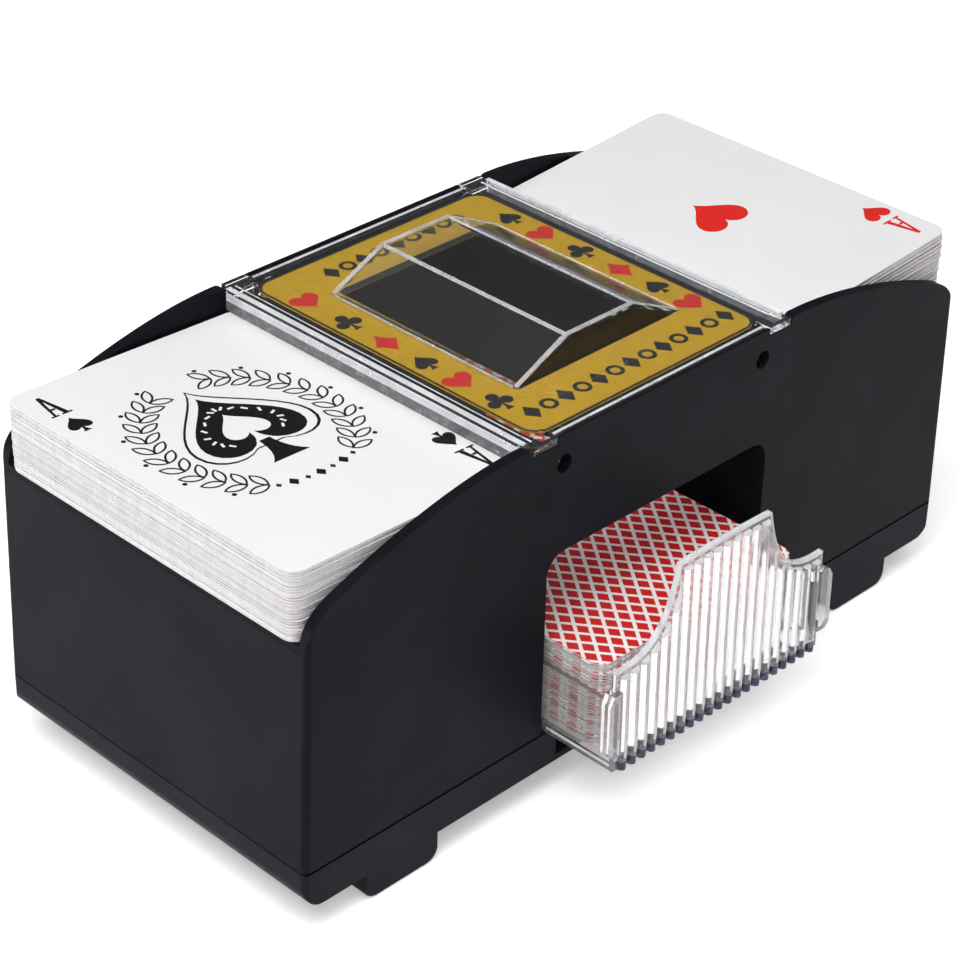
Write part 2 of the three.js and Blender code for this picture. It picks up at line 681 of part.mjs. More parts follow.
// ---------------------------------------------------------------- card stacks
function deck(xc, yc, zLow, zHigh, halfW) {
  const plan = roundRect(halfW, CARD_L / 2, CARD_R, 4, xc, yc);
  const at = (height) => plan.map(([x, y]) => [x, y, height(x)]);
  return loft(at(zLow), at(zHigh));
}
const hopperLow = (x) => floorZ(x) + DECK_CLEAR;
const leftHigh = (x) => LEFT_TOP - FLOOR_SLOPE * (x - LEFT_OUT);
const rightHigh = (x) => RIGHT_TOP - RIGHT_SLOPE * (RIGHT_OUT - x);
const rightHalf = CARD_W / 2 - 0.1;
const outLow = () => TRAY_Z + TRAY_T + DECK_CLEAR;
const outHigh = () => OUT_TOP;
const leftDeck = deck(LEFT_OUT + CARD_W / 2, 0, hopperLow, leftHigh, CARD_W / 2);
const rightDeck = deck(RIGHT_OUT - rightHalf, 0, hopperLow, rightHigh, rightHalf);
const outDeck = deck(0, OUT_FRONT + CARD_L / 2, outLow, outHigh, CARD_W / 2);
place('deck_left', leftDeck, MATS.card);
place('deck_right', rightDeck, MATS.card);
place('deck_out', outDeck, MATS.card_back);

// ----------------------------------------------------------------- feed drive
function gearOutline([cx, cz], teeth, phase) {
  const pitchR = MODULE * teeth / 2;
  const step = 2 * Math.PI / teeth;
  const root = pitchR - 1.2 * MODULE;
  const tip = pitchR + 0.92 * MODULE;
  const pts = [];
  for (let i = 0; i < teeth; i += 1) {
    const a = phase + i * step;
    for (const [r, k] of [[root, -0.29], [tip, -0.11], [tip, 0.11], [root, 0.29]]) {
      pts.push([cx + r * Math.cos(a + k * step), cz + r * Math.sin(a + k * step)]);
    }
  }
  return pts;
}

// a gear that points a tooth (0) or a gap (0.5) along a direction
function gear(axis, teeth, direction, gap, [y0, y1]) {
  return prismXZ(gearOutline(axis, teeth, direction + gap * 2 * Math.PI / teeth), y0, y1);
}

// a rod along Y on an axis given in X and Z
const rodOn = ([x, z], r, y0, y1, n) => rodY(x, z, r, y0, y1, n);

function feedTyre(a, yc) {
  const tyre = rodOn(a, TYRE_R, yc - TYRE_HALF, yc + TYRE_HALF, 36);
  return tyre.subtract(rodOn(a, SHAFT_R + 0.04, -FAR, FAR, 24));
}

function shaftBush(a, e) {
  const sleeve = rodOn(a, BUSH_R, ...span([FLANGE_Y[0], BUSH_Y[1]], e), 24);
  const flange = rodOn(a, FLANGE_R, ...span(FLANGE_Y, e), 24);
  return sleeve.add(flange).subtract(rodOn(a, SHAFT_R + 0.06, -FAR, FAR, 24));
}

function rollerGear(a, ab) {
  const wheel = gear(a, T_ROLLER, ab, 0, ROLLER_GEAR_Y);
  const hub = rodOn(a, 3.2, ROLLER_GEAR_Y[0] - 2, ROLLER_GEAR_Y[1], 20);
  return wheel.add(hub).subtract(rodOn(a, SHAFT_R + 0.04, 0, FAR, 24));
}

// the small and the big wheel share one body
function compoundGear(b, ab) {
  const wheels = gear(b, T_SMALL, ab + Math.PI, 0.5, SMALL_GEAR_Y)
    .add(gear(b, T_BIG, ab, 0, BIG_GEAR_Y))
    .add(rodOn(b, 2.2, SMALL_GEAR_Y[0] - 0.2, BIG_GEAR_Y[1] + 1, 16));
  return wheels.subtract(rodOn(b, AXLE_R + 0.08, 0, FAR, 16));
}

function gearAxle(b) {
  const headY = SMALL_GEAR_Y[0] - 1.6;
  return rodOn(b, AXLE_R, headY + 0.6, BUSH_Y[1], 16).add(rodOn(b, 1.7, headY, headY + 1, 16));
}

function motorCan(c, s) {
  const can = prismXZ(motorEnvelope(s, 0), ...MOTOR_Y);
  const nose = rodOn(c, 3, MOTOR_Y[1] - 1, MOTOR_Y[1] + 1.6, 20);
  return can.add(nose).subtract(rodOn(c, AXLE_R + 0.08, 20, FAR, 16));
}

function motorPinion(c, ab) {
  const shaft = rodOn(c, AXLE_R, 22, PINION_Y[1] + 0.8, 16);
  return shaft.add(gear(c, T_PINION, ab + Math.PI, 0.5, PINION_Y));
}

// the motor's plastic end, with its two terminals
function motorEndCap([x, z], s) {
  const [y0, y1] = CAP_Y;
  const terminal = [3.8, 4.4];
  const terminals = SIDES.map(([, e]) => {
    const [t0, t1] = span(terminal, e);
    return box(x + t0, x + t1, y0 - 3, y0 + 0.4, z - 1, z + 1);
  });
  return addAll(prismXZ(motorEnvelope(s, -0.6), y0, y1), ...terminals);
}

for (const [side, s] of SIDES) {
  const [a, b, c] = driveAxes(s);
  const ab = Math.atan2(b[1] - a[1], b[0] - a[0]);
  place(`roller_shaft_${side}`, rodOn(a, SHAFT_R, -SHAFT_HALF, SHAFT_HALF, 24), MATS.steel);
  for (const [end, e] of ENDS) {
    place(`feed_tyre_${side}_${end}`, feedTyre(a, e * TYRE_Y), MATS.rubber);
  }
  for (const [end, e] of ENDS) {
    place(`shaft_bush_${side}_${end}`, shaftBush(a, e), MATS.brass);
  }
  place(`roller_gear_${side}`, rollerGear(a, ab), MATS.nylon);
  place(`compound_gear_${side}`, compoundGear(b, ab), MATS.nylon);
  place(`gear_axle_${side}`, gearAxle(b), MATS.steel);
  place(`motor_can_${side}`, motorCan(c, s), MATS.steel);
  place(`motor_pinion_${side}`, motorPinion(c, ab), MATS.brass);
  place(`motor_end_cap_${side}`, motorEndCap(c, s), MATS.switch);
}

// -------------------------------------------------------------------- battery
// an AA cell, its plus end towards +Y or, when flipped, towards -Y
function cell(x, z, e) {
  const half = AA_L / 2;
  const [y0, y1] = span([-half, half - 0.9], e);
  const [n0, n1] = span([half - 1, half + 0.4], e);
  return rodY(x, z, AA_R, y0, y1, 20).add(rodY(x, z, 2.7, n0, n1, 14));
}
const CELLS = CELL_Z.flatMap((z) => CELL_X.map((x) => [x, z]));
const CELL_ENDS = [1, -1, -1, 1];
CELLS.forEach(([x, z], i) => {
  place(`battery_${i + 1}`, cell(x, z, CELL_ENDS[i]), MATS.cell);
});

const contact = (x0, x1, y) => box(x0, x1, y, y + CONTACT_T, ...CONTACT_Z);
const CONTACT_OUT = [-96, -70.4];   // outer limits of the contact plates
const CONTACT_SPLIT = [-84.6, -81.8];
const contactBack = DOOR[3] + 0.1;
place('battery_contact_front', contact(...CONTACT_OUT, DOOR[2] - 1.4), MATS.steel);
place('battery_contact_plus', contact(CONTACT_OUT[0], CONTACT_SPLIT[0], contactBack), MATS.steel);
place('battery_contact_minus', contact(CONTACT_SPLIT[1], CONTACT_OUT[1], contactBack), MATS.steel);

// ------------------------------------------------------- start button, switch
function startButton() {
  return addAll(
    rodY(BUTTON_X, BUTTON_Z, BUTTON_R, 44, BUTTON_FACE, 24),
    rodY(BUTTON_X, BUTTON_Z, POCKET_R - 0.5, 43.4, POCKET_Y - 0.4, 24),
    rodY(BUTTON_X, BUTTON_Z, 1.5, 35.6, 44, 12),
  );
}
place('start_button', startButton(), MATS.button);

function switchBody() {
  const [y0, y1] = SWITCH_Y;
  const block = box(BUTTON_X - 6.5, BUTTON_X + 6.5, y0, y1, BUTTON_Z - 5, BUTTON_Z + 5);
  return block.subtract(rodY(BUTTON_X, BUTTON_Z, 1.9, 31, FAR, 12));
}
place('switch_body', switchBody(), MATS.switch);

// --------------------------------------------------------------------- screws
// a screw with a cross recess, its head downwards
function caseScrew(x, y) {
  const head = rodZ(x, y, 2.8, 9.6, 11.3, 16);
  const shank = rodZ(x, y, 1.5, 11, 30, 12);
  return cutAll(
    head.add(shank),
    box(x - 1.8, x + 1.8, y - 0.35, y + 0.35, 9, 10.4),
    box(x - 0.35, x + 0.35, y - 1.8, y + 1.8, 9, 10.4),
  );
}
SCREWS.forEach(([x, y], i) => {
  place(`case_screw_${i + 1}`, caseScrew(x, y), MATS.steel);
});

export default group;
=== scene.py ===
"""Looks of the card shuffler: detailed pieces, procedural materials, floor, lights and camera.

Shapes are built in millimetres in a frame centred on the machine's body and are
written to meshes in metres in the shared frame. Places come from the CAD boxes.
"""
import json
import random
from math import atan2, cos, pi, radians, sin, tan
import bmesh
import bpy
from mathutils import Matrix, Vector


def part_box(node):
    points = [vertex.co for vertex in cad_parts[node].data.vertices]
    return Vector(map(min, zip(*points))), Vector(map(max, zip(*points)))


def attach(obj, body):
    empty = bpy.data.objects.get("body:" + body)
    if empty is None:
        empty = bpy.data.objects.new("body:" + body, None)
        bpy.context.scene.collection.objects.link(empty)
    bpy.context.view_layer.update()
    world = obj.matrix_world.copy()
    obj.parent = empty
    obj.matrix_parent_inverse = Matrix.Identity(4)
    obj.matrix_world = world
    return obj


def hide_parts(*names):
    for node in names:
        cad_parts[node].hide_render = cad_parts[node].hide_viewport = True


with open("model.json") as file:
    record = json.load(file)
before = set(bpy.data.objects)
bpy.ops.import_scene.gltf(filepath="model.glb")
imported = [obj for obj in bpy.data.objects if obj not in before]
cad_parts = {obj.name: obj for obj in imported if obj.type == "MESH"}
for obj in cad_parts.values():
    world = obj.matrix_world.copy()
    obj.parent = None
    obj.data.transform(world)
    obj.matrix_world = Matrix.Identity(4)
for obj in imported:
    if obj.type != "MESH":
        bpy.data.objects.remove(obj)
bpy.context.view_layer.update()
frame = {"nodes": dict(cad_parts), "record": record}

MM = 0.001
_low, _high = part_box("upper_housing")
CENTRE_Y = (_low[1] + _high[1]) / 2


def cad(node):
    """A CAD node's box in millimetres, in the body's frame."""
    low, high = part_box(node)
    shift = Vector((0, CENTRE_Y, 0))
    return (Vector(low) - shift) / MM, (Vector(high) - shift) / MM


# ---------- sizes, mm
HOUSE_LOW, HOUSE_HIGH = cad("upper_housing")
BASE_LOW = cad("base")[0]
LID_LOW, LID_HIGH = cad("lid")
LABEL_LOW, LABEL_HIGH = cad("label_plate")
TRAY_LOW, TRAY_HIGH = cad("output_tray")
HALF_X = HOUSE_HIGH.x
HALF_Y = HOUSE_HIGH.y
SEAM_HIGH = HOUSE_LOW.z  # a narrow groove runs all round between the two shells
SEAM_LOW = SEAM_HIGH - 0.3
RIM = HOUSE_HIGH.z  # top of the long walls beside the lid
END_DRAFT = 2.1  # how far each end wall leans in
WALL = 2.55  # long walls
CORNER = 1.6  # upright corners of both shells
SKIRT_R = 5.5  # lower corners of the base, seen from the front
FLOOR_SLOPE = tan(radians(1.97))
FLOOR_X, FLOOR_Z = 101.6, 70.4  # outer end of a hopper floor, which falls towards the middle
GATE_IN, GATE_OUT = 35.4, 37.2  # faces of the walls between the chamber and the hoppers
PEG_X, PEG_Z = 31, 83  # the lid's snap pegs and their holes
SCREW_X, SCREW_Y = 94, 40
CARD_W, CARD_L, CARD_R = 63.5, 88.9, 3.2
FAR_X, FAR_Y, FAR_Z = 110, 60, 110  # cutters reach this far, clear of the body


def floor_z(x):
    """Height of the hopper floors."""
    return FLOOR_Z - FLOOR_SLOPE * (FLOOR_X - abs(x))


def on_side(s, low, high):
    """The range low to high, or its mirror image when s is negative."""
    return (low, high) if s > 0 else (-high, -low)


# ---------- mesh helpers
def in_scene(name, data):
    obj = bpy.data.objects.new(name, data)
    bpy.context.scene.collection.objects.link(obj)
    return obj


def linked(name, bm):
    """A new object in the scene that takes over a bmesh."""
    mesh = bpy.data.meshes.new(name)
    bm.to_mesh(mesh)
    bm.free()
    return in_scene(name, mesh)


def to_object(bm, name, material, smooth=35.0):
    """Turns a bmesh in body millimetres into an object in metres, shaded by angle."""
    bmesh.ops.recalc_face_normals(bm, faces=bm.faces[:])
    for v in bm.verts:
        v.co = Vector((v.co.x * MM, v.co.y * MM + CENTRE_Y, v.co.z * MM))
    obj = linked(name, bm)
    obj.data.materials.append(material)
    shade(obj, smooth)
    return obj


def shade(obj, angle):
    mesh = obj.data
    mesh.shade_smooth()
    mesh.set_sharp_from_angle(angle=radians(angle))


def side_faces(bm, lower, upper):
    """Faces between two closed rows of vertices with equal counts."""
    n = len(lower)
    return [bm.faces.new((lower[i], lower[(i + 1) % n], upper[(i + 1) % n], upper[i])) for i in range(n)]


def skin(rings, closed_ends=True):
    """A bmesh through successive closed rings of points with equal counts."""
    bm = bmesh.new()
    rows = [[bm.verts.new(p) for p in ring] for ring in rings]
    for lower, upper in zip(rows, rows[1:]):
        side_faces(bm, lower, upper)
    if closed_ends:
        bm.faces.new(list(reversed(rows[0])))
        bm.faces.new(rows[-1])
    return bm


def prism(outline, axis, low, high):
    """A 2-D outline drawn out along an axis. The outline is in the other two axes, in order."""
    def point(a, b, c):
        return {"x": (c, a, b), "y": (a, c, b), "z": (a, b, c)}[axis]
    return skin([[point(a, b, low) for a, b in outline], [point(a, b, high) for a, b in outline]])


def block(x0, x1, y0, y1, z0, z1):
    return prism([(x0, y0), (x1, y0), (x1, y1), (x0, y1)], "z", z0, z1)


def ring_of(cx, cy, r, n):
    return [(cx + r * cos(2 * pi * i / n),
             cy + r * sin(2 * pi * i / n)) for i in range(n)]


def rod(axis, a, b, r, low, high, n=32):
    return prism(ring_of(a, b, r, n), axis, low, high)


def round_rect(x0, x1, y0, y1, r, n=6):
    points = []
    centres = ((x1 - r, y1 - r), (x0 + r, y1 - r), (x0 + r, y0 + r), (x1 - r, y0 + r))
    for quarter, (cx, cy) in enumerate(centres):
        for i in range(n + 1):
            a = (quarter + i / n) * pi / 2
            points.append((cx + r * cos(a), cy + r * sin(a)))
    return points


def bezier(p0, p1, p2, p3, n, last=True):
    """Points along a cubic curve in n steps, with or without its last point."""
    points = []
    for i in range(n + (1 if last else 0)):
        t = i / n
        u = 1 - t
        w = (u ** 3, 3 * u * u * t, 3 * u * t * t, t ** 3)
        points.append(tuple(sum(k * p[c] for k, p in zip(w, (p0, p1, p2, p3))) for c in range(2)))
    return points


def joined(*parts):
    """Several bmeshes as one, side by side."""
    bm = bmesh.new()
    for part in parts:
        mesh = bpy.data.meshes.new("part")
        part.to_mesh(mesh)
        part.free()
        bm.from_mesh(mesh)
        bpy.data.meshes.remove(mesh)
    return bm


def temp(bm):
    """A passing object, for modifiers to work on."""
    bmesh.ops.recalc_face_normals(bm, faces=bm.faces[:])
    return linked("temp", bm)


def discard(obj):
    mesh = obj.data
    bpy.data.objects.remove(obj)
    bpy.data.meshes.remove(mesh)


def evaluated(obj):
    """The object's mesh with its modifiers applied, as a new bmesh; the object goes."""
    graph = bpy.context.evaluated_depsgraph_get()
    mesh = bpy.data.meshes.new_from_object(obj.evaluated_get(graph))
    bm = bmesh.new()
    bm.from_mesh(mesh)
    bpy.data.meshes.remove(mesh)
    discard(obj)
    return bm


class Steps(list):
    """A list of boolean steps, each ("cut" or "add" or "keep", bmesh)."""
    def cut(self, bm):
        self.append(("cut", bm))

    def add(self, bm):
        self.append(("add", bm))


def combine(base, steps):
    """Boolean steps on a bmesh, in order."""
    kinds = {"cut": "DIFFERENCE", "add": "UNION", "keep": "INTERSECT"}
    target = temp(base)
    tools = []
    for kind, bm in steps:
        tool = temp(bm)
        tools.append(tool)
        mod = target.modifiers.new("step", "BOOLEAN")
        mod.operation = kinds[kind]
        mod.solver = "EXACT"
        mod.object = tool
    result = evaluated(target)
    for tool in tools:
        discard(tool)
    bmesh.ops.remove_doubles(result, verts=result.verts[:], dist=0.0005)
    bmesh.ops.dissolve_limit(result, angle_limit=radians(0.6), verts=result.verts[:],
                             edges=result.edges[:])
    return result


def bevelled(bm, width, segments, angle=28.0):
    """All edges sharper than an angle in degrees, rounded off."""
    obj = temp(bm)
    mod = obj.modifiers.new("bevel", "BEVEL")
    mod.width = width
    mod.segments = segments
    mod.limit_method = "ANGLE"
    mod.angle_limit = radians(angle)
    mod.use_clamp_overlap = True
    mod.miter_outer = "MITER_ARC"
    return evaluated(obj)


# ---------- materials
def new_material(name, color, roughness, **sockets):
    """A Principled material. Further sockets are given by name, with spaces as underscores."""
    mat = bpy.data.materials.new(name)
    mat.use_nodes = True
    shader = principled(mat)
    shader.inputs["Base Color"].default_value = (*color, 1)
    shader.inputs["Roughness"].default_value = roughness
    for key, value in sockets.items():
        shader.inputs[key.replace("_", " ")].default_value = value
    return mat


def principled(mat):
    return mat.node_tree.nodes["Principled BSDF"]


def add_node(owner, kind, values=None, **props):
    """A node of a material or a world, with input values and properties."""
    node = owner.node_tree.nodes.new("ShaderNode" + kind)
    for key, value in props.items():
        setattr(node, key, value)
    for key, value in (values or {}).items():
        node.inputs[key].default_value = value
    return node


def wire(owner, source, output, target, socket):
    owner.node_tree.links.new(source.outputs[output], target.inputs[socket])


def object_coords(mat, scale=(1, 1, 1)):
    coords = add_node(mat, "TexCoord")
    mapping = add_node(mat, "Mapping", {"Scale": scale})
    wire(mat, coords, "Object", mapping, "Vector")
    return mapping


def noise(mat, scale, detail, stretch=(1, 1, 1)):
    node = add_node(mat, "TexNoise", {"Scale": scale, "Detail": detail})
    wire(mat, object_coords(mat, stretch), "Vector", node, "Vector")
    return node


def vary_roughness(mat, scale, low, high):
    """Roughness that drifts between low and high."""
    ramp = add_node(mat, "MapRange",
                    {"From Min": 0.3, "From Max": 0.7, "To Min": low, "To Max": high})
    wire(mat, noise(mat, scale, 5), "Fac", ramp, "Value")
    wire(mat, ramp, "Result", principled(mat), "Roughness")


def add_bump(mat, source, output, strength, distance, previous=None):
    """Bump from a node's output, on top of a previous bump if there is one."""
    bump = add_node(mat, "Bump", {"Strength": strength, "Distance": distance})
    wire(mat, source, output, bump, "Height")
    if previous:
        wire(mat, previous, "Normal", bump, "Normal")
    wire(mat, bump, "Normal", principled(mat), "Normal")
    return bump


def color_ramp(owner, low, high, first, second):
    ramp = add_node(owner, "ValToRGB")
    for stop, position, color in zip(ramp.color_ramp.elements, (low, high), (first, second)):
        stop.position = position
        stop.color = (*color, 1)
    return ramp


def mix_colors(mat, source, output, *stops):
    """Base colour along a ramp: stops are low, high, and the colours there."""
    ramp = color_ramp(mat, *stops)
    wire(mat, source, output, ramp, "Fac")
    wire(mat, ramp, "Color", principled(mat), "Base Color")


def moulded_plastic(name, color, roughness, grain=0.06, gloss=0.3):
    """Satin moulded plastic: fine spark texture, slow waviness and faint smudges."""
    mat = new_material(name, color, roughness, Specular_IOR_Level=gloss, Specular_Tint=(0.93, 0.96, 1.0, 1))
    pale = tuple(min(1, c * 1.3 + 0.0012) for c in color)
    mix_colors(mat, noise(mat, 55, 6), "Fac", 0.42, 0.72, color, pale)
    vary_roughness(mat, 38, roughness - 0.05, roughness + 0.08)
    fine = add_bump(mat, noise(mat, 4200, 2), "Fac", grain, 0.0001)
    add_bump(mat, noise(mat, 26, 2), "Fac", 0.05, 0.0006, fine)
    return mat


def clear_plastic(name, tint, transmission, roughness, ior):
    """Clear polystyrene with a trace of moulding waviness, light scuffs and haze."""
    mat = new_material(name, tint, roughness, IOR=ior, Transmission_Weight=transmission)
    vary_roughness(mat, 90, roughness - 0.01, roughness + 0.035)
    add_bump(mat, noise(mat, 60, 2), "Fac", 0.05, 0.0004)
    return mat


def painted_edge_light(name, transmission, roughness):
    """Painted highlight for edges and thick rims of clear plastic: a milky material that stands for the light
    these edges gather.
    """
    mat = new_material(name, (0.94, 0.95, 0.97), roughness, IOR=1.4, Transmission_Weight=transmission)
    mix_colors(mat, noise(mat, 240, 4), "Fac", 0.35, 0.65, (0.80, 0.81, 0.84), (0.97, 0.975, 0.985))
    vary_roughness(mat, 160, roughness - 0.08, roughness + 0.12)
    add_bump(mat, noise(mat, 500, 2), "Fac", 0.08, 0.0003)
    return mat


def painted_dark_refraction(name, color, spread):
    """Painted dark: clear plastic tinted with the dark that thick clear plastic shows of what lies behind it,
    in patches up to spread times as pale.
    """
    mat = new_material(name, color, 0.2, IOR=1.45, Transmission_Weight=0.35)
    pale = tuple(c * spread for c in color)
    mix_colors(mat, noise(mat, 700, 3), "Fac", 0.5, 0.72, color, pale)
    vary_roughness(mat, 220, 0.12, 0.32)
    return mat


def gold_print():
    """Gold printing with a fine grain."""
    mat = new_material("gold_foil", (0.342, 0.206, 0.003), 0.42, Specular_IOR_Level=0.15)
    mix_colors(mat, noise(mat, 900, 3), "Fac", 0.35, 0.7, (0.315, 0.188, 0.002), (0.370, 0.224, 0.004))
    vary_roughness(mat, 60, 0.34, 0.46)
    add_bump(mat, noise(mat, 1500, 2), "Fac", 0.12, 0.0001)
    return mat


def add_dimples(mat):
    """The fine dimpled finish that playing cards have."""
    cells = add_node(mat, "TexVoronoi", {"Scale": 1900.0})
    wire(mat, object_coords(mat), "Vector", cells, "Vector")
    add_bump(mat, cells, "Distance", 0.05, 0.0001)


def card_face(name, color):
    """Coated card stock with slight changes of tone."""
    mat = new_material(name, color, 0.42, Coat_Weight=0.15, Coat_Roughness=0.25)
    shade_to = tuple(c * 0.975 for c in color)
    mix_colors(mat, noise(mat, 40, 4), "Fac", 0.4, 0.7, color, shade_to)
    add_dimples(mat)
    return mat


def card_edge(name, tone):
    """Cut edges of card stock: fine paper fibres in pale grey."""
    pale, dark = (tone,) * 3, (tone * 0.88,) * 3
    mat = new_material(name, pale, 0.75)
    mix_colors(mat, noise(mat, 900, 4, (1, 1, 0.3)), "Fac", 0.34, 0.62, dark, pale)
    add_bump(mat, noise(mat, 1800, 3), "Fac", 0.15, 0.0001)
    return mat


LATTICE_X, LATTICE_Y = 0.0040, 0.0053  # size of a lozenge, in metres
LATTICE_LINE = 0.155  # half width of a line with its fraying, in lozenges
LINE_EDGE = 0.008  # how softly a line ends
FRAY = 0.05  # how unevenly it ends


def card_back():
    """Red lozenges between two families of pale diagonal lines with slightly frayed edges."""
    mat = new_material("card_back", (0.55, 0.02, 0.02), 0.42, Coat_Weight=0.15, Coat_Roughness=0.25)
    split = add_node(mat, "SeparateXYZ")
    wire(mat, object_coords(mat, (1 / LATTICE_X, 1 / LATTICE_Y, 1)), "Vector", split, "Vector")

    def maths(operation, *inputs):
        """A maths node on sockets and numbers."""
        node = add_node(mat, "Math", operation=operation)
        for socket, value in zip(node.inputs, inputs):
            if isinstance(value, float):
                socket.default_value = value
            else:
                mat.node_tree.links.new(value, socket)
        return node.outputs[0]
    x, y = split.outputs["X"], split.outputs["Y"]
    near = [maths("PINGPONG", maths(operation, x, y), 0.5) for operation in ("ADD", "SUBTRACT")]
    grain = noise(mat, 3600, 1).outputs["Fac"]
    frayed = maths("MULTIPLY_ADD", grain, FRAY, maths("MINIMUM", *near))
    mix_colors(mat, frayed.node, "Value", LATTICE_LINE - LINE_EDGE, LATTICE_LINE + LINE_EDGE,
               (0.92, 0.88, 0.86), (0.62, 0.014, 0.017))
    add_dimples(mat)
    return mat


def ink(name, color):
    """Printing ink: matt, with a faint grain."""
    mat = new_material(name, color, 0.45, Specular_IOR_Level=0.15)
    vary_roughness(mat, 700, 0.38, 0.55)
    pale = tuple(min(1, c * 1.2 + 0.003) for c in color)
    mix_colors(mat, noise(mat, 2500, 2), "Fac", 0.4, 0.7, color, pale)
    return mat


def metal(name, color, roughness):
    """Drawn or rolled metal with fine scratches of tone and gloss."""
    mat = new_material(name, color, roughness, Metallic=1.0)
    vary_roughness(mat, 400, roughness - 0.08, roughness + 0.12)
    dark = tuple(c * 0.8 for c in color)
    mix_colors(mat, noise(mat, 300, 4), "Fac", 0.35, 0.7, dark, color)
    add_bump(mat, noise(mat, 900, 3), "Fac", 0.1, 0.0001)
    return mat


BLACK = moulded_plastic("black_abs", (0.0060, 0.0066, 0.0092), 0.38, gloss=0.045)
BLACK_BASE = moulded_plastic("black_abs_base", (0.0078, 0.0087, 0.0122), 0.42, gloss=0.055)
BUTTON = moulded_plastic("button_abs", (0.02, 0.021, 0.024), 0.34)
SWITCH = moulded_plastic("switch_nylon", (0.012, 0.012, 0.013), 0.5)
NYLON = moulded_plastic("gear_nylon", (0.78, 0.76, 0.68), 0.45)
RUBBER = moulded_plastic("feed_rubber", (0.022, 0.022, 0.024), 0.8, 0.35)
CELL = moulded_plastic("cell_sleeve", (0.03, 0.11, 0.06), 0.35)
CLEAR = clear_plastic("clear_styrene", (0.985, 0.99, 1.0), 0.995, 0.025, 1.24)
CLEAR_TRAY = clear_plastic("clear_tray", (0.86, 0.85, 0.855), 0.94, 0.05, 1.5)
# Painted highlights: milky pieces on the edges of the clear lid and tray, for the light that clear edges
# gather.
EDGE_HIGHLIGHT = painted_edge_light("clear_edge_highlight", 0.62, 0.3)
ROOF_HIGHLIGHT = painted_edge_light("roof_edge_highlight", 0.80, 0.25)
# Painted dark: tinted clear pieces where the clear plastic shows the dark behind it.
RIB_FOOT_DARK = painted_dark_refraction("rib_foot_painted_dark", (0.022, 0.023, 0.055), 5)
LIP_SHADE = painted_dark_refraction("lip_painted_shade", (0.17, 0.175, 0.18), 1.7)
GOLD = gold_print()
FACE = card_face("card_face", (0.80, 0.80, 0.797))
# Three edge tones for the cards; the two darker ones are painted shade, for the gaps between cards.
EDGES = [card_edge("card_edge_pale", 0.70), card_edge("card_edge", 0.56),
         card_edge("card_edge_gap_shade", 0.42)]
BACK = card_back()
INK_BLACK = ink("ink_black", (0.005, 0.005, 0.006))
INK_RED = ink("ink_red", (0.62, 0.018, 0.014))
LABEL_RED = ink("label_red", (0.36, 0.009, 0.008))
STEEL = metal("steel", (0.62, 0.62, 0.63), 0.3)
BRASS = metal("brass", (0.62, 0.44, 0.18), 0.34)

CAD_FINISH = {
    "black": BLACK, "black_base": BLACK_BASE, "clear": CLEAR, "gold": GOLD, "card": FACE,
    "card_back": BACK, "steel": STEEL, "brass": BRASS, "rubber": RUBBER, "nylon": NYLON,
    "cell": CELL, "button": BUTTON, "switch": SWITCH,
}


# ---------- finishing
def soften(obj, angle=30.0):
    """Smooth shading whose large flat faces stay flat."""
    shade(obj, angle)
    mod = obj.modifiers.new("even_normals", "WEIGHTED_NORMAL")
    mod.keep_sharp = True
    return obj


def clear_piece(bm, name, material):
    """Clear plastic passes most light, so it throws no shadow of its own."""
    obj = soften(to_object(bm, name, material), 40)
    obj.visible_shadow = False
    return obj


def round_edges(bm, wanted, width, segments):
    """Rounds the sharp edges whose middle points wanted(point) picks."""
    edges = []
    for edge in bm.edges:
        if len(edge.link_faces) == 2 and edge.calc_face_angle(0) > radians(24):
            if wanted((edge.verts[0].co + edge.verts[1].co) / 2):
                edges.append(edge)
    bmesh.ops.bevel(bm, geom=edges, offset=width, offset_type="OFFSET", segments=segments, profile=0.5,
                    affect="EDGES", clamp_overlap=True, miter_outer="ARC")
    return bm


def mirrored(points):
    """An outline's mirror image, in reverse order."""
    return [(-x, z) for x, z in reversed(points)]


# ---------- housing and base
BLANK_TOP = 92  # the housing's height before its top is cut to shape
FLOOR_T = 1.8  # hopper floors
BEYOND = 120  # past the end walls, for the hoppers' cutters
BAY_X = 98.9  # inner face of the end walls, beside the gears
NOTCH_X, NOTCH_Z = (32.9, 40.1), 88  # notches in the long walls for the lid's corner tabs
LID_SEAT_X, LID_SEAT_Z = 41.6, 88.3
PLATE_SEAT_X, PLATE_SEAT_Y, PLATE_SEAT_Z = 33, 46.85, 88.4
MOUTH_HALF, MOUTH_LOW, MOUTH_HIGH, MOUTH_R = 34.9, 1.6, 61.6, 5
BORE_Y = 46.2  # how deep the bores in the long walls go
BUSH_BOSS, BUSH_BORE = 6, 3.05
AXLE_BOSS, AXLE_BORE = 3.4, 1.06
TYRE_Y, TYRE_HALF_X, TYRE_HALF_Y = 24, 7, 6.7  # slots in the hopper floors for the tyres
GUIDE_R, GUIDE_BORE, CAP_BORE = 10, 8.4, 6.8  # the start button's guide
FOOT_H, FOOT_X, FOOT_HALF, FOOT_R, FOOT_IN = 7, 75.4, 10.5, 3.4, 34
INSIDE_X, INSIDE_Y = 100.2, 45.4  # inner faces of the base's walls
DOOR_X0, DOOR_X1, DOOR_Y = -97.5, -68.9, 25.6  # the battery door's opening
MOTOR_R, CRADLE_HALF = 10.3, 8


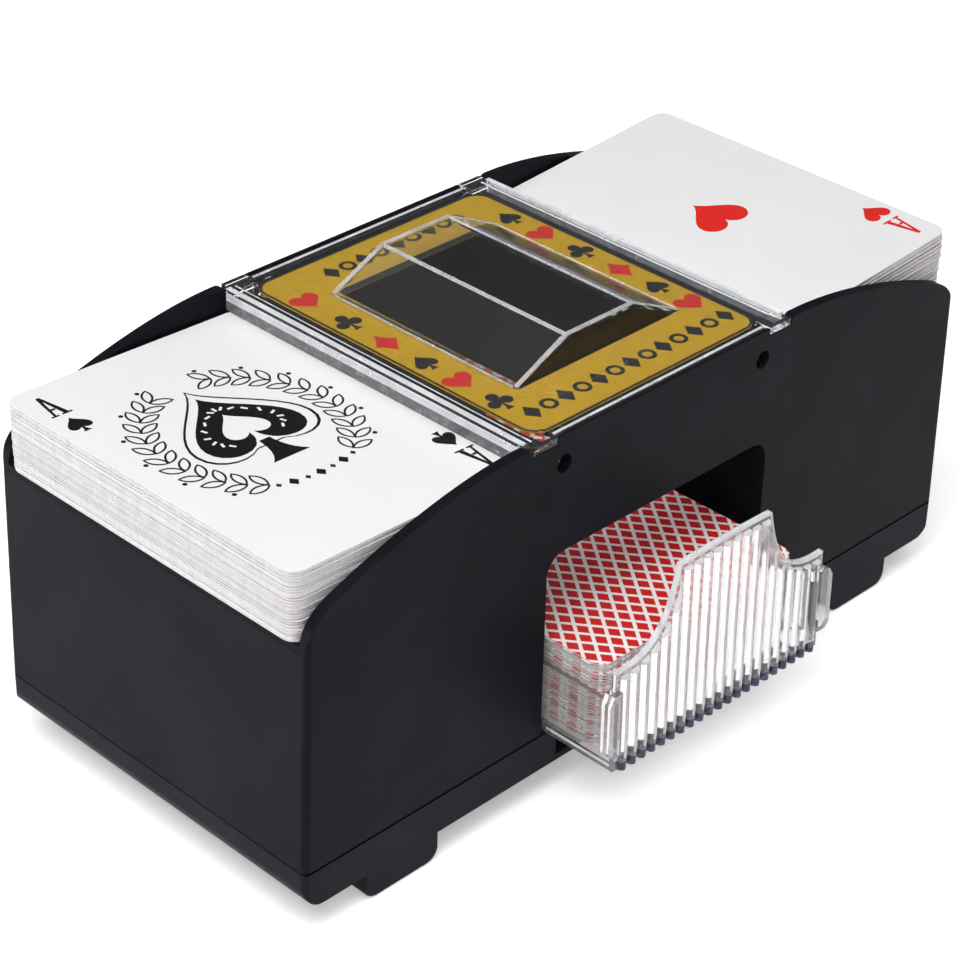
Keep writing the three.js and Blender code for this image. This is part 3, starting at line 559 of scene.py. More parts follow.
def wing_outline():
    """Top edge of a long wall, from the lid's corner out over the hopper and down past the end."""
    sweep = bezier((43, RIM), (59.7, RIM - 0.2), (79.9, 84.3), (94.5, 78.4), 28, last=False)
    shoulder = bezier((94.5, 78.4), (99.5, 76.1), (100.7, 72.4), (101, 69), 14)
    beside = [(33, RIM - 0.2), (40.1, RIM - 1.2), (40.7, RIM - 0.3), (41.5, RIM)]
    return beside + sweep + shoulder + [(103, 67), (112, 66), (112, 0)]


def tapered_ring(z):
    """Plan of the housing at a height, with the end walls leaning in."""
    lean = END_DRAFT * (z - SEAM_HIGH) / (BLANK_TOP - SEAM_HIGH)
    return [(x, y, z) for x, y in round_rect(-HALF_X + lean, HALF_X - lean, -HALF_Y, HALF_Y, CORNER, 5)]


def axis_of(node):
    """The axis of a round CAD node that lies along y, as (x, z)."""
    low, high = cad(node)
    return (low.x + high.x) / 2, (low.z + high.z) / 2


def build_housing():
    """The upper shell, cut out for the hoppers, the gears, the chamber, the lid and the tray."""
    wing = wing_outline()
    body = combine(skin([tapered_ring(SEAM_HIGH), tapered_ring(BLANK_TOP)]),
                   [("keep", prism(mirrored(wing) + wing, "y", -FAR_Y, FAR_Y))])
    round_edges(body, lambda p: p.z > SEAM_HIGH + 1 and abs(p.x) > 40.9, 1.15, 4)
    inner = HALF_Y - WALL
    steps = Steps()
    hopper = [(GATE_OUT, floor_z(GATE_OUT)), (BEYOND, floor_z(BEYOND)), (BEYOND, FAR_Z), (GATE_OUT, FAR_Z)]
    bay = [(GATE_OUT, 0), (BAY_X + 1.1, 0), (BAY_X, 60), (BAY_X, floor_z(BAY_X) - FLOOR_T),
           (GATE_OUT, floor_z(GATE_OUT) - FLOOR_T)]
    for s in (-1, 1):
        for outline in (hopper, bay):
            steps.cut(prism(outline if s > 0 else mirrored(outline), "y", -inner, inner))
        steps.cut(block(*on_side(s, *NOTCH_X), -FAR_Y, FAR_Y, NOTCH_Z, FAR_Z))
    # the chamber, the seats of the lid and its label, and the tray's mouth
    steps.cut(block(-GATE_IN, GATE_IN, -inner, inner, 0, FAR_Z))
    steps.cut(block(-LID_SEAT_X, LID_SEAT_X, -inner, inner, LID_SEAT_Z, FAR_Z))
    steps.cut(block(-PLATE_SEAT_X, PLATE_SEAT_X, -PLATE_SEAT_Y, PLATE_SEAT_Y, PLATE_SEAT_Z, FAR_Z))
    mouth = round_rect(-MOUTH_HALF, MOUTH_HALF, MOUTH_LOW, MOUTH_HIGH, MOUTH_R, 10)
    steps.cut(prism(mouth, "y", -FAR_Y, -inner + 1))
    for s, side in ((-1, "left"), (1, "right")):
        # bearings of the feed roller and of the middle gear
        ax, az = axis_of("roller_shaft_" + side)
        for y in (1, -1):
            steps.add(rod("y", ax, az, BUSH_BOSS, *on_side(y, 42, inner + 0.5)))
        bx, bz = axis_of("gear_axle_" + side)
        steps.add(rod("y", bx, bz, AXLE_BOSS, 41.6, inner + 0.5))
        for y in (-1, 1):
            steps.cut(rod("y", ax, az, BUSH_BORE, *on_side(y, 41, BORE_Y)))
        steps.cut(rod("y", bx, bz, AXLE_BORE, 40, BORE_Y))
        for y in (-TYRE_Y, TYRE_Y):
            steps.cut(block(ax - TYRE_HALF_X, ax + TYRE_HALF_X, y - TYRE_HALF_Y, y + TYRE_HALF_Y,
                            floor_z(ax) - 4, 72))
        # the slot that the lowest card leaves through
        slot_x = GATE_IN - 1 if s > 0 else -GATE_OUT - 0.5
        slot_z = floor_z(GATE_OUT)
        steps.cut(block(slot_x, slot_x + 3.3, -44.8, 44.8, slot_z, slot_z + 1.2))
        # screw pillars
        for y in (-SCREW_Y, SCREW_Y):
            steps.add(rod("z", s * SCREW_X, y, 3.6, SEAM_HIGH, floor_z(SCREW_X) - 1))
            steps.cut(rod("z", s * SCREW_X, y, 1.62, 0, 34))
    for x in (-PEG_X, PEG_X):
        steps.cut(rod("y", x, PEG_Z, 2.15, -FAR_Y, FAR_Y))
    bx, bz = axis_of("start_button")
    steps.add(rod("y", bx, bz, GUIDE_R, 41.2, inner + 0.5, 48))
    steps.cut(rod("y", bx, bz, GUIDE_BORE, 40, 45.6, 48))
    steps.cut(rod("y", bx, bz, CAP_BORE, 40, FAR_Y, 48))
    body = bevelled(combine(body, steps), 0.35, 2)
    return soften(to_object(body, "housing_shell", BLACK))


def build_base():
    """The lower shell, with its feet, battery box, motor cradles and screw pillars."""
    low = BASE_LOW.z + FOOT_H
    over = 30  # above the seam, for cutters
    body = prism(round_rect(-HALF_X, HALF_X, -HALF_Y, HALF_Y, CORNER, 5), "z", low, SEAM_LOW)
    side = round_rect(-HALF_X - 0.01, HALF_X + 0.01, low, low + 40, SKIRT_R, 10)
    body = combine(body, [("keep", prism(side, "y", -FAR_Y, FAR_Y))])
    round_edges(body, lambda p: p.z < SEAM_LOW - 1 and abs(p.x) < 98, 0.9, 3)
    inside = round_rect(-INSIDE_X, INSIDE_X, -INSIDE_Y, INSIDE_Y, 2.6)
    steps = Steps()
    steps.cut(prism(inside, "z", low + 2, over))
    for y in (-1, 1):
        groove = on_side(y, HALF_Y - 0.6, FAR_Y)
        steps.cut(block(-FAR_X, FAR_X, *groove, SEAM_LOW - 0.3, over))
    # the box under the chamber, and the recess under the tray
    steps.add(block(-38.4, 38.4, -45.6, 45.6, SEAM_LOW - 2, SEAM_LOW - 0.02))
    for x0, x1, y0, y1 in ((-38.3, -36.4, -45.5, 45.5), (36.4, 38.3, -45.5, 45.5), (-31.6, 31.6, -42, -39.6)):
        steps.add(block(x0, x1, y0, y1, low + 1, SEAM_LOW - 1))
    steps.cut(block(-29.9, 29.9, -FAR_Y, -41.4, low + 1.7, over))
    # four feet
    for s in (-1, 1):
        for y in (-1, 1):
            outline = round_rect(s * FOOT_X - FOOT_HALF, s * FOOT_X + FOOT_HALF, 0, 24, FOOT_R, 8)
            foot = combine(prism(outline, "y", *on_side(y, FOOT_IN, HALF_Y - 0.02)),
                           [("keep", block(-FAR_X, FAR_X, -FAR_Y, FAR_Y, 0, low + 1))])
            steps.add(round_edges(foot, lambda p: p.z < low, 0.7, 3))
    # the battery box, open below
    steps.add(block(DOOR_X0 - 1.1, DOOR_X1 + 1, -DOOR_Y - 3.4, DOOR_Y + 3.4, low + 1, 39))
    steps.cut(block(DOOR_X0, DOOR_X1, -DOOR_Y - 1.8, DOOR_Y + 1.8, 9, 37.8))
    steps.cut(block(DOOR_X0, DOOR_X1, -DOOR_Y, DOOR_Y, 0, 12))
    steps.cut(block(DOOR_X0 + 8, DOOR_X0 + 20, DOOR_Y - 1, DOOR_Y + 1.9, 0, 8.3))
    # motor cradles, and a post under the switch
    for side in ("left", "right"):
        mx, mz = axis_of("motor_pinion_" + side)
        for y in (11, 29):
            steps.add(block(mx - CRADLE_HALF, mx + CRADLE_HALF, y - 1.2, y + 1.2, low + 1, mz - 2))
        steps.cut(rod("y", mx, mz, MOTOR_R, 5, 34, 40))
    switch_low, switch_high = cad("switch_body")
    steps.add(block(switch_low.x + 2.5, switch_high.x - 2.5, 29, 37, low + 1, switch_low.z - 0.3))
    # screw pillars
    for x in (-SCREW_X, SCREW_X):
        for y in (-SCREW_Y, SCREW_Y):
            steps.add(rod("z", x, y, 4.2, low + 1, SEAM_LOW))
            steps.cut(rod("z", x, y, 1.8, 0, over))
            steps.cut(rod("z", x, y, 3.2, 0, 11.6))
    body = bevelled(combine(body, steps), 0.25, 2)
    return soften(to_object(body, "base_shell", BLACK_BASE))


# ---------- clear lid
ROOF_BASE, ROOF_RIDGE, ROOF_HALF_Y = 25.0, 10.0, 28.4  # half sizes of the raised roof
ROOF_TOP = LID_HIGH.z - 0.2
ROOF_END_T = 1.2  # the roof's upright ends
LID_TOP = 89.6  # the flat plate
LID_UNDER = LABEL_HIGH.z + 0.06
LIP_Z = LID_LOW.z + 4.1  # foot of the end lips
RIM_Z = LID_TOP + 0.35  # raised rims along both ends
LIP_T = 1.25
PLATE_Y = 45  # half width of the plate at its ends
TAB_X, TAB_Y = (33.2, 39.8), (43, 47.6)  # corner tabs that rest in the housing's notches
LEG_Y = (43.65, 44.95)  # snap legs, with pegs that stand a little proud


def build_lid():
    """The clear cover: a plate with end lips, corner tabs and snap legs, and a hollow roof."""
    edge = LID_HIGH.x
    corner = bezier((edge, RIM_Z - 1.5), (edge, RIM_Z - 0.6), (edge - 0.6, RIM_Z), (edge - 1.5, RIM_Z), 8)
    half = [(edge - LIP_T, LID_UNDER), (edge - LIP_T, LIP_Z), (edge, LIP_Z)]
    half += corner + [(edge - 2.6, RIM_Z), (edge - 3.1, LID_TOP)]
    plate = prism(mirrored(half) + half, "y", -PLATE_Y, PLATE_Y)
    steps = Steps()
    steps.add(block(-32.6, 32.6, -46.55, 46.55, LID_UNDER, LID_TOP))
    for s in (-1, 1):
        for y in (-1, 1):
            steps.add(block(*on_side(s, *TAB_X), *on_side(y, *TAB_Y), LID_TOP - 1.3, LID_TOP + 0.3))
            steps.add(block(s * PEG_X - 2.4, s * PEG_X + 2.4, *on_side(y, *LEG_Y),
                            80.8, LID_TOP - 0.4))
            steps.add(rod("y", s * PEG_X, PEG_Z, 1.5, *on_side(y, 44, PLATE_Y + 0.1), 28))
    eaves = LID_TOP + 0.15
    outer = [(-ROOF_BASE, LID_TOP - 0.4), (ROOF_BASE, LID_TOP - 0.4), (ROOF_BASE, eaves),
             (ROOF_RIDGE, ROOF_TOP), (-ROOF_RIDGE, ROOF_TOP), (-ROOF_BASE, eaves)]
    steps.add(prism(outer, "y", -ROOF_HALF_Y, ROOF_HALF_Y))
    under = [(ROOF_BASE - 1.5, 80), (ROOF_BASE - 1.5, LID_TOP + 0.1), (ROOF_RIDGE - 0.4, ROOF_TOP - 1.15)]
    inner = mirrored(under[:1]) + under + mirrored(under[1:])
    steps.cut(prism(inner, "y", -ROOF_HALF_Y + ROOF_END_T, ROOF_HALF_Y - ROOF_END_T))
    body = bevelled(combine(plate, steps), 0.25, 3, 20)
    return clear_piece(body, "lid_clear", CLEAR)


def bead(axis, middle, half, z0, z1, r, n, reach):
    """A thin rounded bar along an axis, as far as reach on both sides."""
    return prism(round_rect(middle - half, middle + half, z0, z1, r, n), axis, -reach, reach)


def build_roof_highlights():
    """Painted highlights: milky beads along the roof's ridges, ends and eaves, for the light its clear edges
    gather.
    """
    parts = []
    eaves = LID_TOP + 0.15
    path = [(ROOF_BASE - 0.2, eaves - 0.05), (ROOF_RIDGE + 0.2, ROOF_TOP - 0.1),
            (-ROOF_RIDGE - 0.2, ROOF_TOP - 0.1), (-ROOF_BASE + 0.2, eaves - 0.05)]
    top = [(x, z + 0.28) for x, z in reversed(path)]
    for y in (-1, 1):
        parts.append(prism(path + top, "y", *on_side(y, ROOF_HALF_Y - ROOF_END_T, ROOF_HALF_Y - 0.15)))
    long_y = ROOF_HALF_Y - 1.25
    for ridge, half in ((-ROOF_RIDGE, 0.4), (ROOF_RIDGE, 0.25)):
        parts.append(bead("y", ridge, half, ROOF_TOP - 0.55, LID_HIGH.z - 0.02, 0.2, 4, long_y))
    for s in (-1, 1):
        parts.append(bead("y", s * (ROOF_BASE + 0.1), 0.2, eaves - 0.2, eaves + 0.15, 0.1, 3, long_y))
    return clear_piece(joined(*parts), "lid_roof_highlights", ROOF_HIGHLIGHT)


def build_rim_highlights():
    """Painted highlights: milky rims round the clear plate, and milky faces of its pegs, for the light that
    clear edges and peg ends gather.
    """
    parts = []
    edge = LID_HIGH.x
    rims = ((edge - 0.95, 0.6, RIM_Z - 0.25, RIM_Z + 0.12), (edge - 3.0, 0.22, LID_TOP - 0.1, LID_TOP + 0.15))
    for s in (-1, 1):
        for x, half, z0, z1 in rims:
            parts.append(bead("y", s * x, half, z0, z1, 0.12, 3, PLATE_Y - 0.1))
    for s in (-1, 1):
        parts.append(bead("x", s * 45.6, 0.35, LID_TOP - 0.1, LID_TOP + 0.15, 0.1, 3, 32.4))
        for x in (-PEG_X, PEG_X):
            parts.append(rod("y", x, PEG_Z, 1.3, *on_side(s, PLATE_Y, PLATE_Y + 0.16), 20))
    return clear_piece(joined(*parts), "lid_rim_highlights", EDGE_HIGHLIGHT)


def build_lip_light_and_shade():
    """Painted light and shade in the lid's two end lips: a pale strip above for the light they gather, a grey
    strip below for the dark they gather.
    """
    edge = LID_HIGH.x
    foot = LIP_Z + 0.1
    middle = foot + 2.3
    long_y = PLATE_Y - 0.3
    # pale holds the painted light strips, grey the painted shade strips
    pale, grey = [], []
    for s in (-1, 1):
        x0, x1 = on_side(s, edge - 0.4, edge - 0.1)
        grey.append(block(x0, x1, -long_y, long_y, foot, middle))
        pale.append(block(x0, x1, -long_y, long_y, middle + 0.02, LID_TOP - 0.65))
    return [clear_piece(joined(*pale), "lid_lip_painted_light", EDGE_HIGHLIGHT),
            clear_piece(joined(*grey), "lid_lip_painted_shade", LIP_SHADE)]


def build_label():
    """The gold sheet under the lid, with its window under the roof."""
    low, high = LABEL_LOW, LABEL_HIGH
    sheet = prism(round_rect(low.x, high.x, low.y, high.y, 4.5, 10), "z", low.z, high.z - 0.06)
    window = prism(round_rect(-24.4, 24.4, -27.8, 27.8, 1.2, 6), "z", 0, FAR_Z)
    body = bevelled(combine(sheet, [("cut", window)]), 0.08, 2)
    return soften(to_object(body, "label_sheet", GOLD))


# ---------- printed shapes
PRINT = 0.03  # how thick the printed marks are


def heart(n=40):
    """A heart, like every mark here about one unit high and centred."""
    points = []
    for i in range(n):
        t = 2 * pi * i / n
        x = 16 * sin(t) ** 3
        y = 13 * cos(t) - 5 * cos(2 * t) - 2 * cos(3 * t) - cos(4 * t)
        points.append((x / 29, (y + 2.5) / 29))
    return points


def right_and_left(half):
    """Closes a right-hand half outline, given top to bottom, with its mirror image."""
    return half + [(-x, y) for x, y in reversed(half) if abs(x) > 1e-6]


def spade_leaf():
    """Right half of a spade without its stem, from the tip down."""
    half = bezier((0, 0.5), (0.05, 0.33), (0.42, 0.12), (0.42, -0.11), 10, last=False)
    return half + bezier((0.42, -0.11), (0.42, -0.31), (0.17, -0.36), (0.045, -0.2), 8, last=False)


def spade():
    half = spade_leaf()
    half += bezier((0.045, -0.2), (0.05, -0.34), (0.08, -0.43), (0.16, -0.5), 6)
    return right_and_left(half)


def club():
    def arc(cx, cy, r, start, end, n):
        angles = [radians(start + (end - start) * i / n) for i in range(n + 1)]
        return [(cx + r * cos(a), cy + r * sin(a)) for a in angles]
    half = arc(0, 0.285, 0.205, 90, -50, 10)
    half += arc(0.245, -0.06, 0.205, 125, -150, 16)
    half += bezier((0.04, -0.15), (0.04, -0.33), (0.08, -0.42), (0.16, -0.5), 6)
    return right_and_left(half)


def diamond():
    half = bezier((0, 0.5), (0.1, 0.3), (0.24, 0.12), (0.38, 0), 5, last=False)
    half += bezier((0.38, 0), (0.24, -0.12), (0.1, -0.3), (0, -0.5), 5)
    return right_and_left(half)


def letter_a():
    """A plain slab-serif index letter, one unit high, as outlines that touch but do not overlap."""
    left = [(-0.215, -0.44), (-0.145, -0.44), (0.0, 0.3), (-0.03, 0.5), (-0.05, 0.5)]
    right = [(0.075, -0.44), (0.215, -0.44), (0.055, 0.5), (-0.03, 0.5), (0.0, 0.3)]
    bar = [(-0.105, -0.2), (0.035, -0.2), (0.028, -0.12), (-0.09, -0.12)]
    feet = [[(-0.3, -0.5), (-0.08, -0.5), (-0.08, -0.44), (-0.3, -0.44)],
            [(0.01, -0.5), (0.3, -0.5), (0.3, -0.44), (0.01, -0.44)]]
    return [left, right, bar] + feet


SUITS = {"heart": heart, "spade": spade, "club": club, "diamond": diamond}


def moved(points, cx, cy, size, turn=0.0):
    """An outline scaled, turned by an angle in radians and moved."""
    c, s = cos(turn), sin(turn)
    return [(cx + size * (c * x - s * y), cy + size * (s * x + c * y)) for x, y in points]


def solid_print(outlines, surface, thickness=PRINT):
    """Thin raised prints: each outline is a closed slab on a surface z(x)."""
    bm = bmesh.new()
    for points in outlines:
        rows = [[bm.verts.new((x, y, surface(x) + lift)) for x, y in points] for lift in (0, thickness)]
        side_faces(bm, *rows)
        bm.faces.new(list(reversed(rows[0])))
        bm.faces.new(rows[1])
    return bm


def line_print(loops, surface):
    """Thin raised lines: each loop is a pair of outlines, outer and inner, with equal counts."""
    bm = bmesh.new()
    for outer, inner in loops:
        rows = [[bm.verts.new((x, y, surface(x) + lift)) for x, y in points]
                for points, lift in ((outer, 0), (outer, PRINT), (inner, PRINT), (inner, 0))]
        for lower, upper in zip(rows, rows[1:] + rows[:1]):
            side_faces(bm, lower, upper)
    return bm


LABEL_MARKS = {  # x of a column of marks, then each mark's y and suit
    -30.4: ((29.9, "heart"), (17.1, "club"), (5.0, "diamond"),
            (-6.6, "spade"), (-17.4, "heart"), (-28.4, "club")),
    30.5: ((28.4, "spade"), (17.3, "heart"), (5.9, "club"),
           (-6.1, "diamond"), (-17.0, "spade"), (-27.4, "heart")),
}
MARK_SIZE = {"heart": 6.7, "club": 7.2, "diamond": 8.0, "spade": 6.6}
BANDS = ((-36.0, -28.5, 31.5), (36.3, -17.5, 21.5))  # y, first and last x of an ornament
LOZENGE = [(0.36, 0), (0, 0.5), (-0.36, 0), (0, -0.5)]


def ornament(y, x0, x1):
    """A plain band across the label, lozenges and rings by turns, as solids and loops."""
    count = 2 * round((x1 - x0) / 10.4)
    pitch = (x1 - x0) / count
    solids, loops = [], []
    for i in range(count + 1):
        x = x0 + i * pitch
        if i % 2 == 0:
            solids.append(moved(LOZENGE, x, y, 5.6))
        else:
            loops.append((ring_of(x, y, 2.1, 20), ring_of(x, y, 1.15, 20)))
    return solids, loops


def label_border(inset, r):
    low, high = LABEL_LOW, LABEL_HIGH
    return round_rect(low.x + inset, high.x - inset, low.y + inset, high.y - inset, r, 8)


def build_label_print():
    """Two columns of suit marks, two ornaments and a thin border."""
    def top(x):
        return LABEL_HIGH.z - 0.055
    black, red = [], []
    for x, marks in LABEL_MARKS.items():
        for y, suit in marks:
            color = red if suit in ("heart", "diamond") else black
            color.append(moved(SUITS[suit](), x, y, MARK_SIZE[suit]))
    loops = []
    for y, x0, x1 in BANDS:
        solids, rings = ornament(y, x0, x1)
        black += solids
        loops += rings
    loops.append((label_border(0.05, 4.4), label_border(0.6, 3.9)))
    marks = joined(solid_print(black, top), line_print(loops, top))
    return [to_object(marks, "label_print_black", INK_BLACK),
            to_object(solid_print(red, top), "label_print_red", LABEL_RED)]


# ---------- card piles
CARD_GAP = 0.14  # air between two cards, as a share of a card's thickness
UNDER_SIDE = 4


def card_pile(name, count, corners, low, high, seed, jitter, face_up=True):
    """One mesh of separate thin cards, between two surfaces z(x).

    Materials: 0 is the upper sides, 1 to 3 the cut edges and 4 the under sides.
    """
    x0, y0 = corners[0].xy
    x1, y1 = corners[1].xy
    rng = random.Random(seed)
    bm = bmesh.new()
    for k in range(count):
        last = k == count - 1
        # Edge tones differ at random from card to card; the darker ones paint the shade in the gaps between
        # cards.
        tone = 1 if last or k % 2 else rng.choice((1, 2, 2, 3))
        room = 0 if last else jitter
        dx = rng.uniform(-room, room)
        dy = rng.uniform(-room, room)
        outline = [(min(max(x + dx, x0), x1), min(max(y + dy, y0), y1))
                   for x, y in round_rect(x0 + jitter, x1 - jitter, y0 + jitter, y1 - jitter, CARD_R, 6)]
        rows = [[bm.verts.new((x, y, low(x) + (high(x) - low(x)) * t)) for x, y in outline]
                for t in (k / count, 1.0 if last else (k + 1 - CARD_GAP) / count)]
        for side in side_faces(bm, *rows):
            side.material_index = tone
        bm.faces.new(list(reversed(rows[0]))).material_index = UNDER_SIDE
        bm.faces.new(rows[1])
    obj = to_object(bm, name, FACE if face_up else BACK, 40)
    for material in (*EDGES, BACK if face_up else FACE):
        obj.data.materials.append(material)
    return obj


def card_middle(pile):
    """Plan middle of a pile's box."""
    low, high = pile
    return (low.x + high.x) / 2, (low.y + high.y) / 2


LEFT_PILE, RIGHT_PILE, OUT_PILE = cad("deck_left"), cad("deck_right"), cad("deck_out")
RIGHT_SLOPE = tan(radians(4.31))  # the right pile's top leans a little more
INDEX_X, INDEX_Y = CARD_W / 2 - 5.6, CARD_L / 2 - 8.6


def left_top(x):
    """Height of the left pile's top, less the print on it."""
    low, high = LEFT_PILE
    return high.z - FLOOR_SLOPE * (x - low.x) - PRINT


def right_top(x):
    high = RIGHT_PILE[1]
    return high.z - RIGHT_SLOPE * (high.x - x) - PRINT


def card_floor(x):
    return floor_z(x) + 0.12


def index_marks(cx, cy, suit):
    """The two corner indices of an ace, letter above suit, the second one turned round."""
    shapes = []
    for s, t, turn in ((-1, 1, 0.0), (1, -1, pi)):
        x = cx + s * INDEX_X
        y = cy + t * INDEX_Y
        for part in letter_a():
            shapes.append(moved(part, x, y, 8.7, turn))
        shapes.append(moved(SUITS[suit](), x, y - t * 9.4, 6.6, turn))
    return shapes


def leaf(length, width):
    return right_and_left(bezier((0, length / 2), (width * 0.7, length * 0.2),
                                 (width * 0.6, -length * 0.25), (0, -length / 2), 7))


def wreath(cx, cy, rx, ry):
    """Two plain laurel branches that start at the foot and meet at the top, as loops and solids."""
    leaves, berries = [], []
    count = 12
    for s in (-1, 1):
        for i in range(count):
            a = radians(-52 + i * 124 / (count - 1))
            x, y = cx + s * rx * cos(a), cy + ry * sin(a)
            along = atan2(ry * cos(a), -s * rx * sin(a)) - pi / 2
            for lean, out in ((-0.72 * s, 1.75), (0.72 * s, -1.75)):
                px, py = x + s * out * cos(a), y + out * sin(a)
                leaves.append(tuple(moved(leaf(*size), px, py, 1, along + lean)
                                    for size in ((5.6, 2.7), (4.4, 1.7))))
            if i % 2:
                berries.append(ring_of(x + s * 4.2 * cos(a), y + 4.2 * sin(a), 0.55, 12))
    return leaves, berries


def build_left_print():
    """An ace of spades, with a plain wreath and pale specks in the middle of the big spade."""
    cx, cy = card_middle(LEFT_PILE)
    mx, my = cx - 1.7, cy + 4.6  # middle of the big spade

    def around(scale):
        return moved(right_and_left(spade_leaf()), mx, my - 0.2, scale)

    def above(x):
        return left_top(x) + PRINT
    leaves, berries = wreath(mx, my - 2.0, 20.6, 23.0)
    black = index_marks(cx, cy, "spade") + [moved(spade(), mx, my - 0.6, 30.0)] + berries
    for i in range(-3, 4):  # a plain chain of lozenges under the spade
        chain = [(0.42, 0), (0, 0.5), (-0.42, 0), (0, -0.5)]
        black.append(moved(chain, mx + i * 3.3, my - 24.2 + 0.16 * i * i, 2.9 if i % 2 == 0 else 1.6))
    lines = [(around(37.0), around(35.4))] + leaves
    black_marks = joined(solid_print(black, left_top), line_print(lines, left_top))
    pale = [moved(spade(), mx, my - 0.6, 13)]
    speck = [(0.5, 0.2), (-0.5, 0.2), (-0.5, -0.2), (0.5, -0.2)]
    for i in range(22):
        a = pi / 2 + 2 * pi * i / 22
        x = mx + 8.9 * cos(a) * (1 if sin(a) < 0 else 1 - 0.5 * sin(a) ** 2)
        y = my - 1.2 + (9.6 if sin(a) > 0 else 6.2) * sin(a)
        if sin(a) > -0.75:
            pale.append(moved(speck, x, y, 1.5, a * 3))
    return [to_object(black_marks, "ace_of_spades_print", INK_BLACK),
            to_object(solid_print(pale, above, 0.02), "ace_of_spades_centre", FACE)]


def build_right_print():
    """An ace of hearts, seen upside down."""
    cx, cy = card_middle(RIGHT_PILE)
    shapes = index_marks(cx, cy, "heart")
    shapes.append(moved(heart(56), cx + 1.0, cy + 0.6, 13.0, pi))
    return [to_object(solid_print(shapes, right_top), "ace_of_hearts_print", INK_RED)]


# ---------- tray
TRAY_HALF = 33.6
TRAY_Z0, TRAY_Z1 = TRAY_LOW.z, TRAY_LOW.z + 1.8  # its floor
TRAY_WALL_Y = -66.0  # back of its front wall
TRAY_FRONT = TRAY_WALL_Y - 1.3  # front of that wall, between the ribs
TRAY_LEAN = 0.018  # how far the wall leans in, for each mm of height
TRAY_SIDE_X, TRAY_SIDE_Z = 32.5, 34  # inner face and height of its side walls
RIB_COUNT, RIB_PITCH, RIB_W, RIB_D = 21, 3.1, 2.15, 1.25
RIB_TOP = 70  # before the ribs are cut to the crest
RIB_X = [(i - (RIB_COUNT - 1) / 2) * RIB_PITCH for i in range(RIB_COUNT)]


def crest_points(drop):
    """Top edge of the tray's front wall from left to right, lowered by drop."""
    half = [(0, 60.4 - drop), (6, 60.35 - drop)]
    half += bezier((14.5 - drop * 0.6, 60.1 - drop), (16.2 - drop, 52.4 - drop), (18.5, 40.4 - drop),
                   (TRAY_HALF, 41.8 - drop), 18)
    return [(-x, z) for x, z in reversed(half[1:])] + half


def rib_front(x, half, count):
    """Rounded front of a rib, from left to right in count steps."""
    angles = [pi * (1 + k / count) for k in range(count + 1)]
    return [(x + half * cos(a), TRAY_FRONT + RIB_D * sin(a)) for a in angles]


def comb():
    """The ribs of the front wall: flat at the back, a row of rounded ribs at the front."""
    side = TRAY_HALF - 0.2
    points = [(side, TRAY_FRONT + 0.6), (-side, TRAY_FRONT + 0.6), (-side, TRAY_FRONT)]
    for x in RIB_X:
        points += rib_front(x, RIB_W / 2, 8)
    points.append((side, TRAY_FRONT))
    return prism(points, "z", TRAY_Z0, RIB_TOP)


def leaned(bm):
    """Leans the tray's front wall inwards."""
    for v in bm.verts:
        v.co.y += TRAY_LEAN * (v.co.z - TRAY_Z0)
    return bm


def build_tray():
    """Floor, low side walls, and a ribbed front wall that leans in, with an ear at each side."""
    z0, back, over = TRAY_Z0, TRAY_HIGH.y, TRAY_WALL_Y - 0.5
    wall = prism([(-TRAY_HALF, z0)] + crest_points(0) + [(TRAY_HALF, z0)], "y", TRAY_FRONT, TRAY_WALL_Y)
    clip = prism([(-TRAY_HALF, z0 - 1)] + crest_points(1.3) + [(TRAY_HALF, z0 - 1)],
                 "y", TRAY_FRONT - 3, TRAY_WALL_Y)
    ribs = combine(comb(), [("keep", clip)])
    round_edges(ribs, lambda p: p.z > z0 + 2 and p.y < TRAY_FRONT - 0.2, 0.45, 3)
    steps = Steps()
    steps.add(ribs)
    ear = [(32.4, 21.4), (35.0, 21.4), (36.2, 22.8), (36.2, 35.2), (35.0, 37.2), (32.4, 37.2)]
    for outline in (mirrored(ear), ear):
        steps.add(prism(outline, "y", TRAY_FRONT - 1.2, TRAY_WALL_Y + 0.2))
    wall = leaned(combine(wall, steps))
    steps = Steps()
    steps.add(wall)
    side = [(over, z0), (back, z0), (back, TRAY_SIDE_Z - 4), (back - 4, TRAY_SIDE_Z), (over, TRAY_SIDE_Z)]
    for s in (-1, 1):
        steps.add(prism(side, "x", *on_side(s, TRAY_SIDE_X, TRAY_HALF)))
    body = combine(block(-TRAY_HALF, TRAY_HALF, over, back, z0, TRAY_Z1), steps)
    return clear_piece(bevelled(body, 0.22, 2, 32), "tray_clear", CLEAR_TRAY)


def build_tray_highlights():
    """Painted highlights on the tray: milky pieces at the wall's crest, the ribs' shoulders and the floor's
    two ends, for the light its clear edges gather.
    """
    crest = crest_points(0)
    cap = prism(crest + [(x * 0.994, z - 0.55) for x, z in reversed(crest)],
                "y", TRAY_FRONT - 0.02, TRAY_WALL_Y + 0.02)
    rib_tops = crest_points(1.28)
    clip = prism(rib_tops + [(x, z - 0.5) for x, z in reversed(rib_tops)], "y", TRAY_FRONT - 3, TRAY_FRONT)
    upright = leaned(joined(cap, combine(comb(), [("keep", clip)])))
    lips = [block(s * TRAY_HALF - 0.2, s * TRAY_HALF + 0.2, TRAY_FRONT + 1, -48.2,
                  TRAY_Z0 + 1.15, TRAY_Z0 + 1.55) for s in (-1, 1)]
    return clear_piece(joined(upright, *lips), "tray_edge_highlights", EDGE_HIGHLIGHT)


